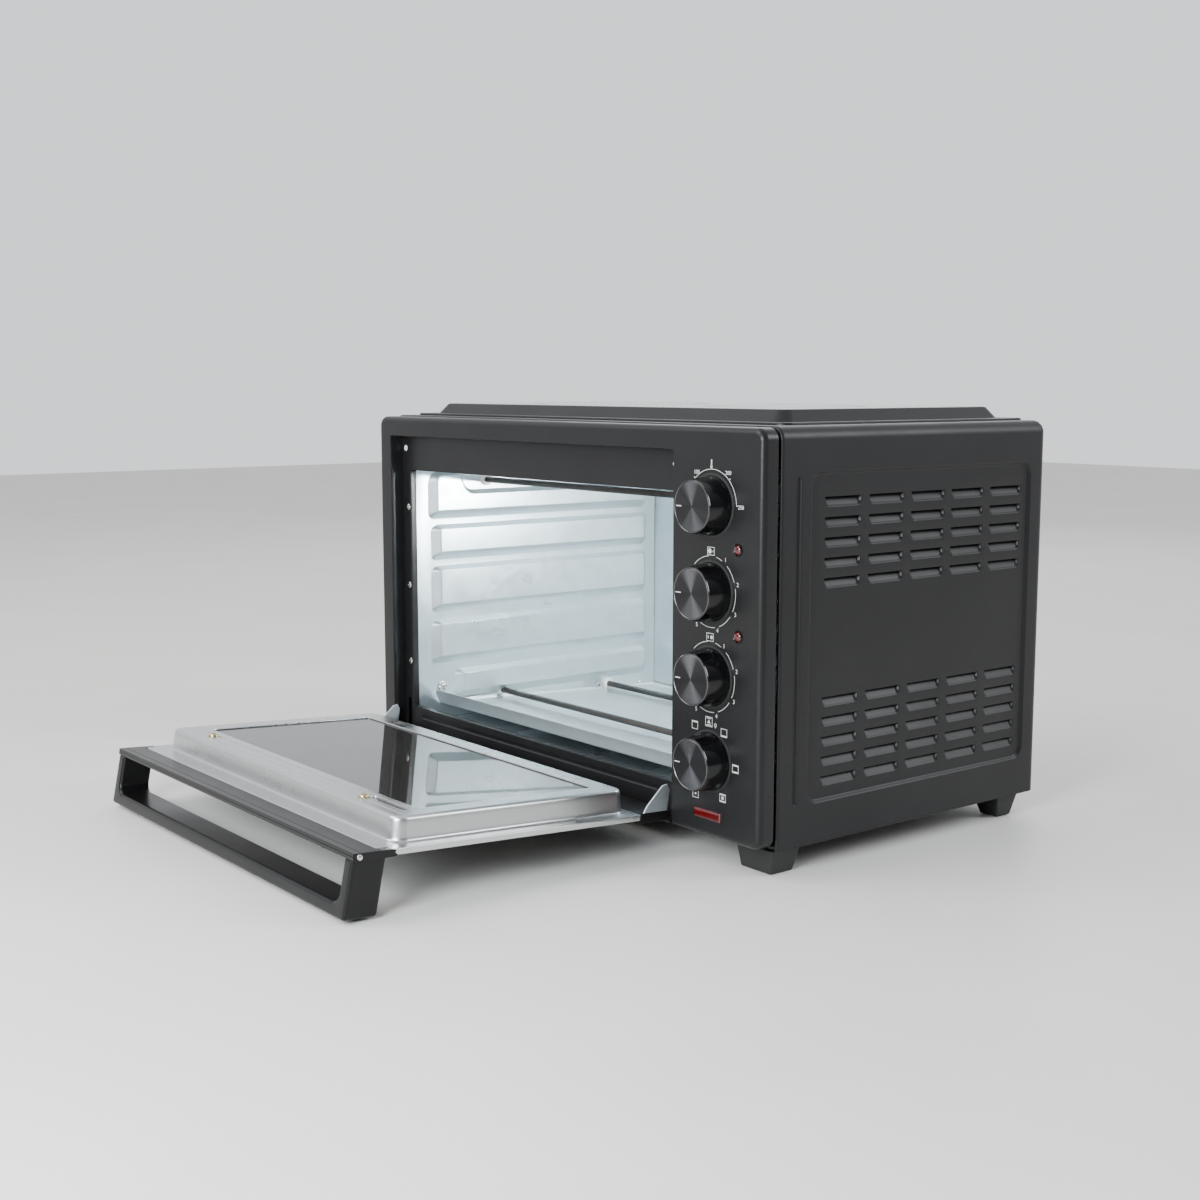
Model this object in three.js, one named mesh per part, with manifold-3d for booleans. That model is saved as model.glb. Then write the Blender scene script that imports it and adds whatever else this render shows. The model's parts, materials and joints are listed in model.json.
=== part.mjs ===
// Countertop toaster oven with a bottom-hinged glass door, a pull-out crumb tray,
// four rotary controls and a flat two-zone hob plate on top. Millimetres, +Z up.
// Inside the assembly group Y = 0 is the front plane of the control panel and Z = 0
// is the surface the feet stand on; the outer group centres the depth on Y = 0.
import * as THREE from "three";
import { mergeVertices } from "three/addons/utils/BufferGeometryUtils.js";
import Module from "manifold-3d";

const wasm = await Module();
wasm.setup();
const { Manifold, Mesh: SolidMesh } = wasm;

// ---------- driving dimensions ----------
const HALF_W = 292.2; // half width of the housing
const BODY_Z0 = 21.1; // underside of the housing
const BODY_Z1 = 366.1; // top of the housing
const BODY_Y0 = 20.1; // front edge of the wrap
const BODY_Y1 = 357.2; // rear edge of the wrap
const SHEET = 1.5; // wrap sheet thickness
const EDGE_R = 11; // bend radius at the top edges
const FASCIA_Z0 = 24.8;
const FASCIA_Z1 = 364.9;
const FASCIA_D = 16.5;
const FASCIA_T = 2.5;
const FASCIA_BEVEL = 5;
const RECESS = { x0: -269.3, x1: 183.9, z1: 344.7, depth: 14.5 };
const CAVITY = { x0: -255, x1: 177, z0: 57, z1: 310, yFront: 21.8, yBack: 350, floor: 40 };
const LINER_T = 1.2;
const RIB_DEPTH = 6;
const KNOB_X = 232.5;
const KNOB_Z = [301.3, 230.8, 160.3, 89.8];
const KNOB_DEPTH = 21.5;
const KNOB_R_FACE = 21.9;
const KNOB_R_BASE = 24.6;
const SHAFT_R = 3;
const HINGE_Y = 6;
const HINGE_Z = 28.7;
const DOOR_TILT = 3.35; // degrees above horizontal when fully open
const DOOR_X0 = -266.3;
const DOOR_X1 = 180.9;
const DOOR_TOP = 313.6; // door height from the hinge axis
const GLASS_W0 = 2; // outer face of the door glass
const GLASS_T = 4;
const FRAME_W1 = 26.5; // top of the raised inner frame
const FRAME = { x0: -251.5, x1: 167, u0: 41, u1: 270, wall: 15 };
const HANDLE = { w0: -44, post: 12, u0: 284.5, u1: 314, lean: 6, bar: 11 };
const TRAY = { x0: -253, x1: 175, y0: 46.5, len: 300, t: 0.8, slope: 0.0505, z: 59.5, lip: 16.5, lean: 11 };
const LOUVER = { cols: 5, rows: 5, y: 93.3, dy: 52.12, zTop: 306.3, zLow: 141.0, dz: 16.64, len: 38, h: 4 };
const HOB = { x: 262, y0: 48, y1: 332, z0: 366.5, z1: 378.3, slope: 8 };
const FOOT_H = 20.8;
const Y_CENTRE = -26; // centres the open assembly front to back

// ---------- helpers ----------
const deg = (a) => (a * Math.PI) / 180;

const solid = (geometry) => {
  const g = geometry.clone();
  for (const name of Object.keys(g.attributes)) if (name !== "position") g.deleteAttribute(name);
  const m = mergeVertices(g, 1e-4);
  const tri = Uint32Array.from(m.index.array);
  const s = new Manifold(
    new SolidMesh({ numProp: 3, vertProperties: Float32Array.from(m.attributes.position.array), triVerts: tri }),
  );
  return s;
};

const geometryOf = (s) => {
  const m = s.getMesh();
  const g = new THREE.BufferGeometry();
  const p = new Float32Array(m.numVert * 3);
  for (let i = 0; i < m.numVert; i++)
    for (let k = 0; k < 3; k++) p[i * 3 + k] = m.vertProperties[i * m.numProp + k];
  g.setAttribute("position", new THREE.BufferAttribute(p, 3));
  g.setIndex(Array.from(m.triVerts));
  g.computeVertexNormals();
  return g;
};

const box = (x0, x1, y0, y1, z0, z1) => {
  const g = new THREE.BoxGeometry(x1 - x0, y1 - y0, z1 - z0);
  g.translate((x0 + x1) / 2, (y0 + y1) / 2, (z0 + z1) / 2);
  return solid(g);
};

// cylinder or cone along an axis, from a to b
const rod = (axis, c, a, b, r0, r1 = r0, seg = 16) => {
  const g = new THREE.CylinderGeometry(r1, r0, b - a, seg);
  g.translate(0, (a + b) / 2, 0);
  if (axis === "x") g.rotateZ(-Math.PI / 2);
  if (axis === "z") g.rotateX(Math.PI / 2);
  if (axis === "x") g.translate(0, c[0], c[1]);
  if (axis === "y") g.translate(c[0], 0, c[1]);
  if (axis === "z") g.translate(c[0], c[1], 0);
  return solid(g);
};

// closed outline drawn in two axes and extruded along the third, from a to b
const prism = (plane, pts, a, b, bevel = 0) => {
  const s = new THREE.Shape(pts.map((p) => new THREE.Vector2(p[0], p[1])));
  const g = new THREE.ExtrudeGeometry(s, {
    depth: b - a - 2 * bevel,
    bevelEnabled: bevel > 0,
    bevelThickness: bevel,
    bevelSize: bevel,
    bevelOffset: -bevel,
    bevelSegments: 1,
    curveSegments: 4,
  });
  g.translate(0, 0, a + bevel);
  const m = new THREE.Matrix4();
  if (plane === "xz") m.set(1, 0, 0, 0, 0, 0, 1, 0, 0, 1, 0, 0, 0, 0, 0, 1);
  if (plane === "yz") m.set(0, 0, 1, 0, 1, 0, 0, 0, 0, 1, 0, 0, 0, 0, 0, 1);
  if (plane === "xy") m.identity();
  g.applyMatrix4(m);
  if (m.determinant() < 0) {
    const p = g.attributes.position;
    for (let i = 0; i < p.count; i += 3)
      for (let k = 0; k < 3; k++) {
        const t = p.array[(i + 1) * 3 + k];
        p.array[(i + 1) * 3 + k] = p.array[(i + 2) * 3 + k];
        p.array[(i + 2) * 3 + k] = t;
      }
  }
  return solid(g);
};

const rounded = (x0, x1, z0, z1, r, n = 4) => {
  const pts = [];
  const radii = Array.isArray(r) ? r : [r, r, r, r]; // lower right, upper right, upper left, lower left
  const cs = [[x1, z0, -90], [x1, z1, 0], [x0, z1, 90], [x0, z0, 180]];
  cs.forEach(([x, z, a0], i) => {
    const q = radii[i];
    if (q === 0) return pts.push([x, z]);
    const cx = x + (x === x1 ? -q : q);
    const cz = z + (z === z1 ? -q : q);
    for (let k = 0; k <= n; k++) {
      const a = deg(a0 + (90 * k) / n);
      pts.push([cx + q * Math.cos(a), cz + q * Math.sin(a)]);
    }
  });
  return pts;
};

const lathe = (profile, seg, axis, c) => {
  const g = new THREE.LatheGeometry(profile.map((p) => new THREE.Vector2(p[0], p[1])), seg);
  if (axis === "x") g.rotateZ(-Math.PI / 2).translate(0, c[0], c[1]);
  if (axis === "y") g.translate(c[0], 0, c[1]);
  if (axis === "z") g.rotateX(Math.PI / 2).translate(c[0], c[1], 0);
  return solid(g);
};

const all = (...list) => list.reduce((a, b) => a.add(b));
const cut = (a, ...list) => list.reduce((s, b) => s.subtract(b), a);

const assembly = new THREE.Group();
const door = new THREE.Group();
door.position.set(0, HINGE_Y, HINGE_Z);
door.rotation.x = -deg(DOOR_TILT);
assembly.add(door);

const MAT = {
  blackSteel: [0x17161a, 0.5, 0.3],
  blackPlastic: [0x121214, 0.45, 0],
  galvanised: [0xa9b4b8, 0.35, 0.85],
  steel: [0xb9bcbe, 0.3, 0.9],
  glass: [0x2b2a28, 0.05, 0],
  hobGlass: [0x0b0b0d, 0.08, 0],
  ceramic: [0xe6e0d2, 0.6, 0],
  element: [0x3a3a3c, 0.6, 0.5],
  red: [0x7a0a10, 0.2, 0],
  silicone: [0xd9d7d2, 0.6, 0],
  rubber: [0x0d0d0e, 0.8, 0],
  brass: [0xb08d57, 0.35, 0.9],
  mica: [0x8a7a62, 0.8, 0],
};

const put = (name, s, mat, parent = assembly) => {
  const [color, roughness, metalness] = MAT[mat];
  const mesh = new THREE.Mesh(geometryOf(s), new THREE.MeshStandardMaterial({ color, roughness, metalness }));
  mesh.name = name;
  parent.add(mesh);
  return mesh;
};

// ---------- casing ----------
const wrapOutline = (inset, z0) =>
  rounded(-HALF_W + inset, HALF_W - inset, z0, BODY_Z1 - inset, [0, EDGE_R - inset, EDGE_R - inset, 0], 3);
let wrap = cut(
  prism("xz", wrapOutline(0, BODY_Z0 + 0.5), BODY_Y0, BODY_Y1),
  prism("xz", wrapOutline(SHEET, 0), BODY_Y0 - 5, BODY_Y1 + 5),
  box(-236, 236, 78, 302, 340, 380),
);
const slots = [];
for (const z0 of [LOUVER.zTop, LOUVER.zLow])
  for (let i = 0; i < LOUVER.cols; i++)
    for (let j = 0; j < LOUVER.rows; j++) {
      const y = LOUVER.y + i * LOUVER.dy;
      const z = z0 - j * LOUVER.dz;
      slots.push([y - LOUVER.len / 2, y + LOUVER.len / 2, z - LOUVER.h / 2, z + LOUVER.h / 2]);
    }
for (const s of slots) wrap = cut(wrap, box(-300, 300, ...s));
put("outer_housing", wrap, "blackSteel");

let rear = prism("xz", rounded(-HALF_W, HALF_W, BODY_Z0 + 0.5, BODY_Z1, [0, EDGE_R, EDGE_R, 0], 3), BODY_Y1 + 0.3, BODY_Y1 + 2.1);
for (const x of [-190, -110, 110, 190]) for (let k = 0; k < 5; k++) rear = cut(rear, box(x - 28, x + 28, 350, 370, 150 + k * 26, 156 + k * 26));
rear = cut(rear, rod("y", [222, 62], 350, 370, 8, 8, 16));
put("rear_panel", rear, "blackSteel");

let pan = box(-HALF_W + SHEET + 0.4, HALF_W - SHEET - 0.4, BODY_Y0 + 0.3, BODY_Y1, BODY_Z0, BODY_Z0 + 1.5);
for (const x of [-180, -60, 60, 180]) for (const y of [90, 150, 230, 290]) pan = cut(pan, box(x - 30, x + 30, y - 3, y + 3, 15, 30));
put("base_pan", pan, "galvanised");

// ---------- front fascia ----------
let fascia = cut(
  prism("xz", rounded(-HALF_W, HALF_W, FASCIA_Z0, FASCIA_Z1, 10), 0, 40, FASCIA_BEVEL),
  box(-400, 400, FASCIA_D, 60, 0, 400),
);
const pocket = cut(
  box(-HALF_W + FASCIA_T, HALF_W - FASCIA_T, FASCIA_T + 2.5, 30, FASCIA_Z0 + FASCIA_T, FASCIA_Z1 - FASCIA_T),
  box(RECESS.x0 - FASCIA_T, RECESS.x1 + FASCIA_T, -1, 40, 0, RECESS.z1 + FASCIA_T),
);
fascia = cut(
  fascia,
  pocket,
  box(RECESS.x0, RECESS.x1, -1, RECESS.depth, 0, RECESS.z1),
);
const lipFrame = cut(
  box(CAVITY.x0 - 1.5, CAVITY.x1 + 1.5, FASCIA_D - 0.5, 21.5, CAVITY.z0 - 1.5, CAVITY.z1 + 1.5),
  box(CAVITY.x0, CAVITY.x1, 10, 30, CAVITY.z0, CAVITY.z1),
);
fascia = cut(all(cut(fascia, box(CAVITY.x0, CAVITY.x1, 10, 30, CAVITY.z0, CAVITY.z1)), lipFrame),
  box(-266, -259, 10, 20, 33, 66),
  box(178.9, 182.2, 10, 20, 33, 66),
  rod("x", [HINGE_Y, HINGE_Z], -280, -260, 3.3, 3.3, 12),
  rod("x", [HINGE_Y, HINGE_Z], 175, 195, 3.3, 3.3, 12),
  box(231 - 16.5, 231 + 16.5, -5, 10, 44 - 4, 44 + 4),
  rod("y", [264.1, 267.4], -5, 10, 4.3, 4.3, 12),
  rod("y", [265.2, 197.4], -5, 10, 4.3, 4.3, 12),
  rod("y", [-262, 332], 10, 20, 1.6, 1.6, 8),
  rod("y", [171, 332], 10, 20, 1.6, 1.6, 8),
);
for (const z of KNOB_Z) fascia = cut(fascia, rod("y", [KNOB_X, z], -5, 10, 4.4, 4.4, 12));
put("front_fascia", fascia, "blackSteel");

// small white buffers in the door recess, each a dome on a stem
for (const [name, x] of [["door_buffer_left", -262], ["door_buffer_right", 171]])
  put(name, lathe([[0, 13.5], [2.2, 13.7], [3.2, 14.2], [1.3, 14.2], [1.3, 18], [0, 18]], 10, "y", [x, 332]), "silicone");

put("power_lens", all(box(213.3, 248.7, -1.2, -0.3, 38.8, 49.2), box(215, 247, -0.5, 6, 40.5, 47.5)), "red");
put("pilot_lens_upper", lathe([[0, -2], [3.4, -1.6], [5, -0.3], [4, -0.3], [4, 7], [0, 7]], 16, "y", [264.1, 267.4]), "red");
put("pilot_lens_lower", lathe([[0, -2], [3.4, -1.6], [5, -0.3], [4, -0.3], [4, 7], [0, 7]], 16, "y", [265.2, 197.4]), "red");

// ---------- oven cavity ----------
const ribRows = [
  [36, 336, 259, 284, 70, 305], // y0, y1, z0, z1, step end, step top
  [39, 336, 214, 249],
  [39, 336, 157, 205],
  [38, 336, 101, 147],
  [66, 336, 60, 90.5],
];
const wallOutline = (x0, sign) => {
  let wall = box(Math.min(x0, x0 - sign * LINER_T), Math.max(x0, x0 - sign * LINER_T), CAVITY.yFront, CAVITY.yBack - 0.4, CAVITY.floor + 0.4, CAVITY.z1 - 0.4);
  const rib = (y0, y1, z0, z1, d, b) => {
    // frustum pressed towards the inside of the cavity
    const top = [[y0 + b, z0 + b], [y1 - b, z0 + b], [y1 - b, z1 - b], [y0 + b, z1 - b]];
    const g = new THREE.BufferGeometry();
    const v = [];
    for (const [y, z] of [[y0, z0], [y1, z0], [y1, z1], [y0, z1]]) v.push(0, y, z);
    for (const [y, z] of top) v.push(d, y, z);
    g.setAttribute("position", new THREE.BufferAttribute(new Float32Array(v), 3));
    g.setIndex([0, 2, 1, 0, 3, 2, 4, 5, 6, 4, 6, 7, 0, 1, 5, 0, 5, 4, 1, 2, 6, 1, 6, 5, 2, 3, 7, 2, 7, 6, 3, 0, 4, 3, 4, 7]);
    return solid(g);
  };
  const place = (s) => (sign > 0 ? s : s.mirror([1, 0, 0])).translate([x0, 0, 0]);
  for (const r of ribRows) {
    const blocks = [[r[0], r[1], r[2], r[3]]];
    if (r.length > 4) blocks.push([r[0], r[4], r[2], r[5]]);
    for (const [y0, y1, z0, z1] of blocks) wall = wall.add(place(rib(y0, y1, z0, z1, RIB_DEPTH, 7)));
  }
  for (const r of ribRows) {
    const blocks = [[r[0], r[1], r[2], r[3]]];
    if (r.length > 4) blocks.push([r[0], r[4], r[2], r[5]]);
    for (const [y0, y1, z0, z1] of blocks)
      wall = wall.subtract(place(rib(y0 + 1.6, y1 - 1.6, z0 + 1.6, z1 - 1.6, RIB_DEPTH - 1.2, 6.2).translate([-0.01, 0, 0])));
  }
  const outside = sign > 0 ? [x0 - LINER_T - 20, x0 - LINER_T] : [x0 + LINER_T, x0 + LINER_T + 20];
  return cut(wall, box(...outside, 0, 400, 0, 400));
};
const openRibs = (wall, x0, sign) => {
  // the pressings are open at the back of the sheet
  for (const r of ribRows) {
    const blocks = [[r[0], r[1], r[2], r[3]]];
    if (r.length > 4) blocks.push([r[0], r[4], r[2], r[5]]);
    for (const [y0, y1, z0, z1] of blocks) {
      const a = x0 - sign * (LINER_T + 1);
      const b = x0 + sign * 0.01;
      wall = cut(wall, box(Math.min(a, b), Math.max(a, b), y0 + 1.6, y1 - 1.6, z0 + 1.6, z1 - 1.6));
    }
  }
  return wall;
};
let linerLeft = openRibs(wallOutline(CAVITY.x0, 1), CAVITY.x0, 1);
linerLeft = cut(linerLeft, rod("x", [50.5, 73.8], -270, -240, 2.6, 2.6, 12), rod("x", [279, 52], -270, -240, 4, 4, 12), rod("x", [130, 62], -270, -240, 4, 4, 12),
  rod("x", [110, 296], -270, -240, 4, 4, 12), rod("x", [260, 296], -270, -240, 4, 4, 12));
put("liner_left", linerLeft, "galvanised");
let linerRight = openRibs(wallOutline(CAVITY.x1, -1), CAVITY.x1, -1);
linerRight = cut(linerRight, rod("x", [279, 52], 150, 190, 4, 4, 12), rod("x", [130, 62], 150, 190, 4, 4, 12),
  rod("x", [110, 296], 150, 190, 4, 4, 12), rod("x", [260, 296], 150, 190, 4, 4, 12), box(150, 190, 292, 328, 263, 279.5));
put("liner_right", linerRight, "galvanised");
// roof and back wall are one bent sheet
put("liner_roof_back", all(
  box(CAVITY.x0 - LINER_T, CAVITY.x1 + LINER_T, CAVITY.yBack, CAVITY.yBack + LINER_T, CAVITY.floor, CAVITY.z1 + LINER_T),
  box(CAVITY.x0 - LINER_T, CAVITY.x1 + LINER_T, CAVITY.yFront, CAVITY.yBack + 0.1, CAVITY.z1, CAVITY.z1 + LINER_T),
), "galvanised");
put("liner_floor", cut(
  box(CAVITY.x0 - LINER_T, CAVITY.x1 + LINER_T, CAVITY.yFront, CAVITY.yBack - 0.3, CAVITY.floor - 7, CAVITY.floor),
  box(CAVITY.x0 - 2.4, -150, 0, 400, CAVITY.floor - 8, CAVITY.floor - LINER_T),
  box(72, CAVITY.x1 + 2.4, 0, 400, CAVITY.floor - 8, CAVITY.floor - LINER_T),
  box(-151, 73, 0, 60, CAVITY.floor - 8, CAVITY.floor - LINER_T),
  box(-151, 73, 310, 400, CAVITY.floor - 8, CAVITY.floor - LINER_T),
  box(-148.8, 70.8, 61.2, 308.8, CAVITY.floor - 7 + LINER_T, CAVITY.floor + 1),
), "galvanised");

const screw = (name, axis, c, at, dir, r, h, shank, mat = "steel") => {
  // pan head with a slot, shank behind it
  const head = [at, at + dir * h];
  let s = rod(axis, c, Math.min(...head), Math.max(...head), dir > 0 ? r : r * 0.72, dir > 0 ? r * 0.72 : r, 12);
  const k = [at - dir * shank, at + dir * 0.2];
  s = s.add(rod(axis, c, Math.min(...k), Math.max(...k), r * 0.42, r * 0.42, 10));
  put(name, s, mat);
};
screw("liner_screw_left", "x", [50.5, 73.8], -254.6, 1, 4.6, 2.6, 6);

const element = (name, y, z) => {
  const s = all(rod("x", [y, z], -268, 190, 3.25, 3.25, 10), rod("x", [y, z], -276, -258.5, 6.5, 6.5, 10), rod("x", [y, z], 180.5, 198, 6.5, 6.5, 10));
  put(name, s, "element");
};
element("lower_element_front", 130, 62);
element("lower_element_rear", 279, 52);
element("upper_element_front", 110, 296);
element("upper_element_rear", 260, 296);

// oven lamp behind a lens in the right wall
put("lamp_lens", box(174.2, 179.6, 292.6, 327.4, 263.5, 279), "ceramic");
put("lamp_holder", cut(box(180.2, 226, 288, 332, 258, 285), box(179, 222, 293, 327, 262.5, 280.5)), "ceramic");
put("oven_lamp", lathe([[0, 184], [6, 187], [8, 194], [6, 203], [4.5, 208], [4.5, 221.5], [0, 221.5]], 12, "x", [310, 271.5]), "ceramic");

// ---------- controls behind the panel ----------
const control = (name, z, body, depth) => {
  const h = body / 2;
  let s = box(KNOB_X - h, KNOB_X + h, 8, 8 + depth, z - h * 0.72, z + h * 0.72);
  s = all(s, rod("y", [KNOB_X, z], 5.4, 9, 8, 8, 12), box(KNOB_X - h + 4, KNOB_X - h + 10, 8 + depth - 1, 8 + depth + 9, z - 3, z + 3), box(KNOB_X + h - 10, KNOB_X + h - 4, 8 + depth - 1, 8 + depth + 9, z - 3, z + 3));
  s = cut(s, rod("y", [KNOB_X, z], 0, 20, SHAFT_R + 0.5, SHAFT_R + 0.5, 12));
  put(name, s, "mica");
};
control("oven_thermostat", KNOB_Z[0], 44, 26);
control("hob_switch_left", KNOB_Z[1], 40, 30);
control("hob_switch_right", KNOB_Z[2], 40, 30);
control("function_switch", KNOB_Z[3], 46, 34);
put("terminal_block", cut(box(200, 262, 318, 340, 22.9, 44), box(204, 216, 310, 350, 34, 50), box(225, 237, 310, 350, 34, 50), box(246, 258, 310, 350, 34, 50)), "ceramic");
put("cord_bushing", lathe([[4.2, 351], [7.6, 351], [7.6, 359.7], [12, 359.7], [12, 362.5], [8.5, 368.02], [4.2, 368.02], [4.2, 351]], 16, "y", [222, 62]), "rubber");

// ---------- hob on top ----------
const hobOuter = (() => {
  const g = new THREE.BufferGeometry();
  const v = [];
  const ring = (x, y0, y1, z, r) => rounded(-x, x, y0, y1, r, 3).forEach(([a, b]) => v.push(a, b, z));
  ring(HOB.x, HOB.y0, HOB.y1, HOB.z0, 14);
  ring(HOB.x - HOB.slope, HOB.y0 + HOB.slope * 1.35, HOB.y1 - HOB.slope * 1.35, HOB.z1, 10);
  const n = v.length / 6;
  const idx = [];
  for (let i = 0; i < n; i++) {
    const j = (i + 1) % n;
    idx.push(i, j, n + j, i, n + j, n + i);
  }
  for (let i = 1; i < n - 1; i++) idx.push(0, i + 1, i, n, n + i, n + i + 1);
  g.setAttribute("position", new THREE.BufferAttribute(new Float32Array(v), 3));
  g.setIndex(idx);
  return solid(g);
})();
put("hob_platform", cut(hobOuter, box(-246, 246, 66, 314, HOB.z1 - 4.2, 390), box(-238, 238, 74, 306, 360, 390)), "blackSteel");
put("hob_glass", box(-245.6, 245.6, 66.4, 313.6, HOB.z1 - 3.9, HOB.z1), "hobGlass");
const burner = (name, x, r) => put(name, cut(rod("z", [x, 190], 350, 374, r, r, 24), rod("z", [x, 190], 353, 380, r - 4, r - 4, 24)).add(
  cut(rod("z", [x, 190], 352, 366, r - 12, r - 12, 24), rod("z", [x, 190], 356, 380, r - 20, r - 20, 24))), "ceramic");
burner("hob_heater_left", -118, 92);
burner("hob_heater_right", 120, 76);

// ---------- feet ----------
const foot = (name, tx0, tx1, ty0, ty1, bx0, bx1, by0, by1) => {
  const g = new THREE.BufferGeometry();
  const v = [];
  for (const [x, y] of [[bx0, by0], [bx1, by0], [bx1, by1], [bx0, by1]]) v.push(x, y, 0);
  for (const [x, y] of [[tx0, ty0], [tx1, ty0], [tx1, ty1], [tx0, ty1]]) v.push(x, y, FOOT_H);
  g.setAttribute("position", new THREE.BufferAttribute(new Float32Array(v), 3));
  g.setIndex([0, 2, 1, 0, 3, 2, 4, 5, 6, 4, 6, 7, 0, 1, 5, 0, 5, 4, 1, 2, 6, 1, 6, 5, 2, 3, 7, 2, 7, 6, 3, 0, 4, 3, 4, 7]);
  put(name, solid(g), "rubber");
};
for (const [side, s] of [["left", -1], ["right", 1]]) {
  const xs = (a, b) => (s > 0 ? [a, b] : [-b, -a]);
  foot(`foot_front_${side}`, ...xs(243, 287), 21, 53, ...xs(247.6, 283), 22.5, 48);
  foot(`foot_rear_${side}`, ...xs(256, 287), 308, 338, ...xs(263, 283), 314, 332.5);
}

// ---------- door, drawn lying open: -Y is away from the hinge, +Z is the inner side ----------
const DX0 = DOOR_X0;
const DX1 = DOOR_X1;
const dbox = (x0, x1, u0, u1, w0, w1) => box(x0, x1, -u1, -u0, w0, w1);
put("door_outer_glass", dbox(DX0, DX1, 37, 312.8, GLASS_W0, GLASS_W0 + GLASS_T), "glass", door);
let inner = all(
  dbox(DX0 + 0.6, DX1 - 0.6, 37, 288, GLASS_W0 + GLASS_T + 0.3, GLASS_W0 + GLASS_T + 1.1),
  dbox(FRAME.x0, FRAME.x1, FRAME.u0, FRAME.u1, GLASS_W0 + GLASS_T + 0.3, FRAME_W1),
);
inner = cut(
  inner,
  dbox(FRAME.x0 + 1, FRAME.x1 - 1, FRAME.u0 + 1, FRAME.u1 - 1, 0, FRAME_W1 - 1),
  dbox(FRAME.x0 + 26, FRAME.x1 - 26, FRAME.u0 + 26, FRAME.u1 - 26, 0, 40),
);
put("door_inner_frame", inner, "steel", door);
put("door_inner_glass", dbox(FRAME.x0 + 12, FRAME.x1 - 12, FRAME.u0 + 12, FRAME.u1 - 12, FRAME_W1 - 4.6, FRAME_W1 - 1.4), "glass", door);
put("door_top_trim", cut(all(
  dbox(DX0, DX1, 288.6, DOOR_TOP, -0.5, 7.2),
), dbox(DX0 - 5, DX1 + 5, 280, 313, GLASS_W0 - 0.4, GLASS_W0 + GLASS_T + 0.4)), "blackPlastic", door);
// bottom bar with a hinge barrel at each end
put("door_bottom_bar", cut(all(
  dbox(DX0, DX1, 4, 40, -0.5, 7.6),
  rod("x", [0, 0], DX0 + 0.2, DX0 + 16, 4.8, 4.8, 12),
  rod("x", [0, 0], DX1 - 16, DX1 - 0.2, 4.8, 4.8, 12),
), dbox(DX0 - 5, DX1 + 5, 36.6, 50, GLASS_W0 - 0.4, 8.5),
  rod("x", [0, 0], DX0 - 5, DX0 + 14, 3.3, 3.3, 12), rod("x", [0, 0], DX1 - 14, DX1 + 5, 3.3, 3.3, 12)), "blackPlastic", door);
const pin = (name, x0, x1) => put(name, rod("x", [HINGE_Y, HINGE_Z], x0, x1, 2.9, 2.9, 12), "steel");
pin("hinge_pin_left", -274.5, DX0 + 13);
pin("hinge_pin_right", DX1 - 13, 189);
// galvanised stays that swing through the slots in the fascia
const stay = (name, x0) => put(name, prism("yz", [[-8, 8], [-34, 8], [-30, 14], [-14, 30], [-9, 31], [-6, 26]], x0, x0 + 1.5), "galvanised", door);
stay("hinge_stay_left", -263);
stay("hinge_stay_right", 179.2);
const dscrew = (name, x, u) => {
  const s = all(rod("z", [x, -u], FRAME_W1 + 0.2, FRAME_W1 + 2.4, 4.4, 3.2, 12), rod("z", [x, -u], FRAME_W1 + 0.1, FRAME_W1 + 0.4, 5.2, 5.2, 12));
  put(name, s, "brass", door);
};
dscrew("retainer_screw_left", -196, 250);
dscrew("retainer_screw_right", 92, 254);

// handle: two leaning posts and a bar
const post = (x0, x1) => prism("yz", [
  [-HANDLE.u0, GLASS_W0 - 2.9], [-HANDLE.u0 - HANDLE.lean, HANDLE.w0], [-HANDLE.u1 - HANDLE.lean, HANDLE.w0], [-HANDLE.u1, GLASS_W0 - 2.9],
], x0, x1);
put("door_handle", all(
  post(DX0 + 1, DX0 + 1 + HANDLE.post),
  post(DX1 - 1 - HANDLE.post, DX1 - 1),
  dbox(DX0 + 1, DX1 - 1, HANDLE.u0 + HANDLE.lean, HANDLE.u1 + HANDLE.lean, HANDLE.w0, HANDLE.w0 + HANDLE.bar),
), "blackPlastic", door);

// ---------- crumb tray ----------
{
  const T = TRAY;
  const a = Math.atan(T.slope);
  const g = new THREE.Group();
  g.position.set(0, T.y0, T.z - T.slope * T.y0);
  g.rotation.x = -a;
  assembly.add(g);
  // one bent sheet: sloping front lip, flat bottom, small rear flange
  let s = prism("yz", [
    [0, 0], [T.len, 0], [T.len, 3], [T.len - T.t, 3], [T.len - T.t, T.t],
    [0.7, T.t], [1 - T.lean, T.lip], [-T.lean, T.lip],
  ], T.x0, T.x1);
  s = cut(s, box(T.x1 - 28, T.x1 + 5, -30, -1, -1, 40), box(T.x0 - 5, T.x0 + 4, -30, -1, -1, 40));
  s = all(s, box(T.x0 + 0.1, T.x0 + 0.9, 8, T.len - 0.3, 0.3, 3.2), box(T.x1 - 0.9, T.x1 - 0.1, 8, T.len - 0.3, 0.3, 3.2));
  put("crumb_tray", s, "galvanised", g);
}

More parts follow.
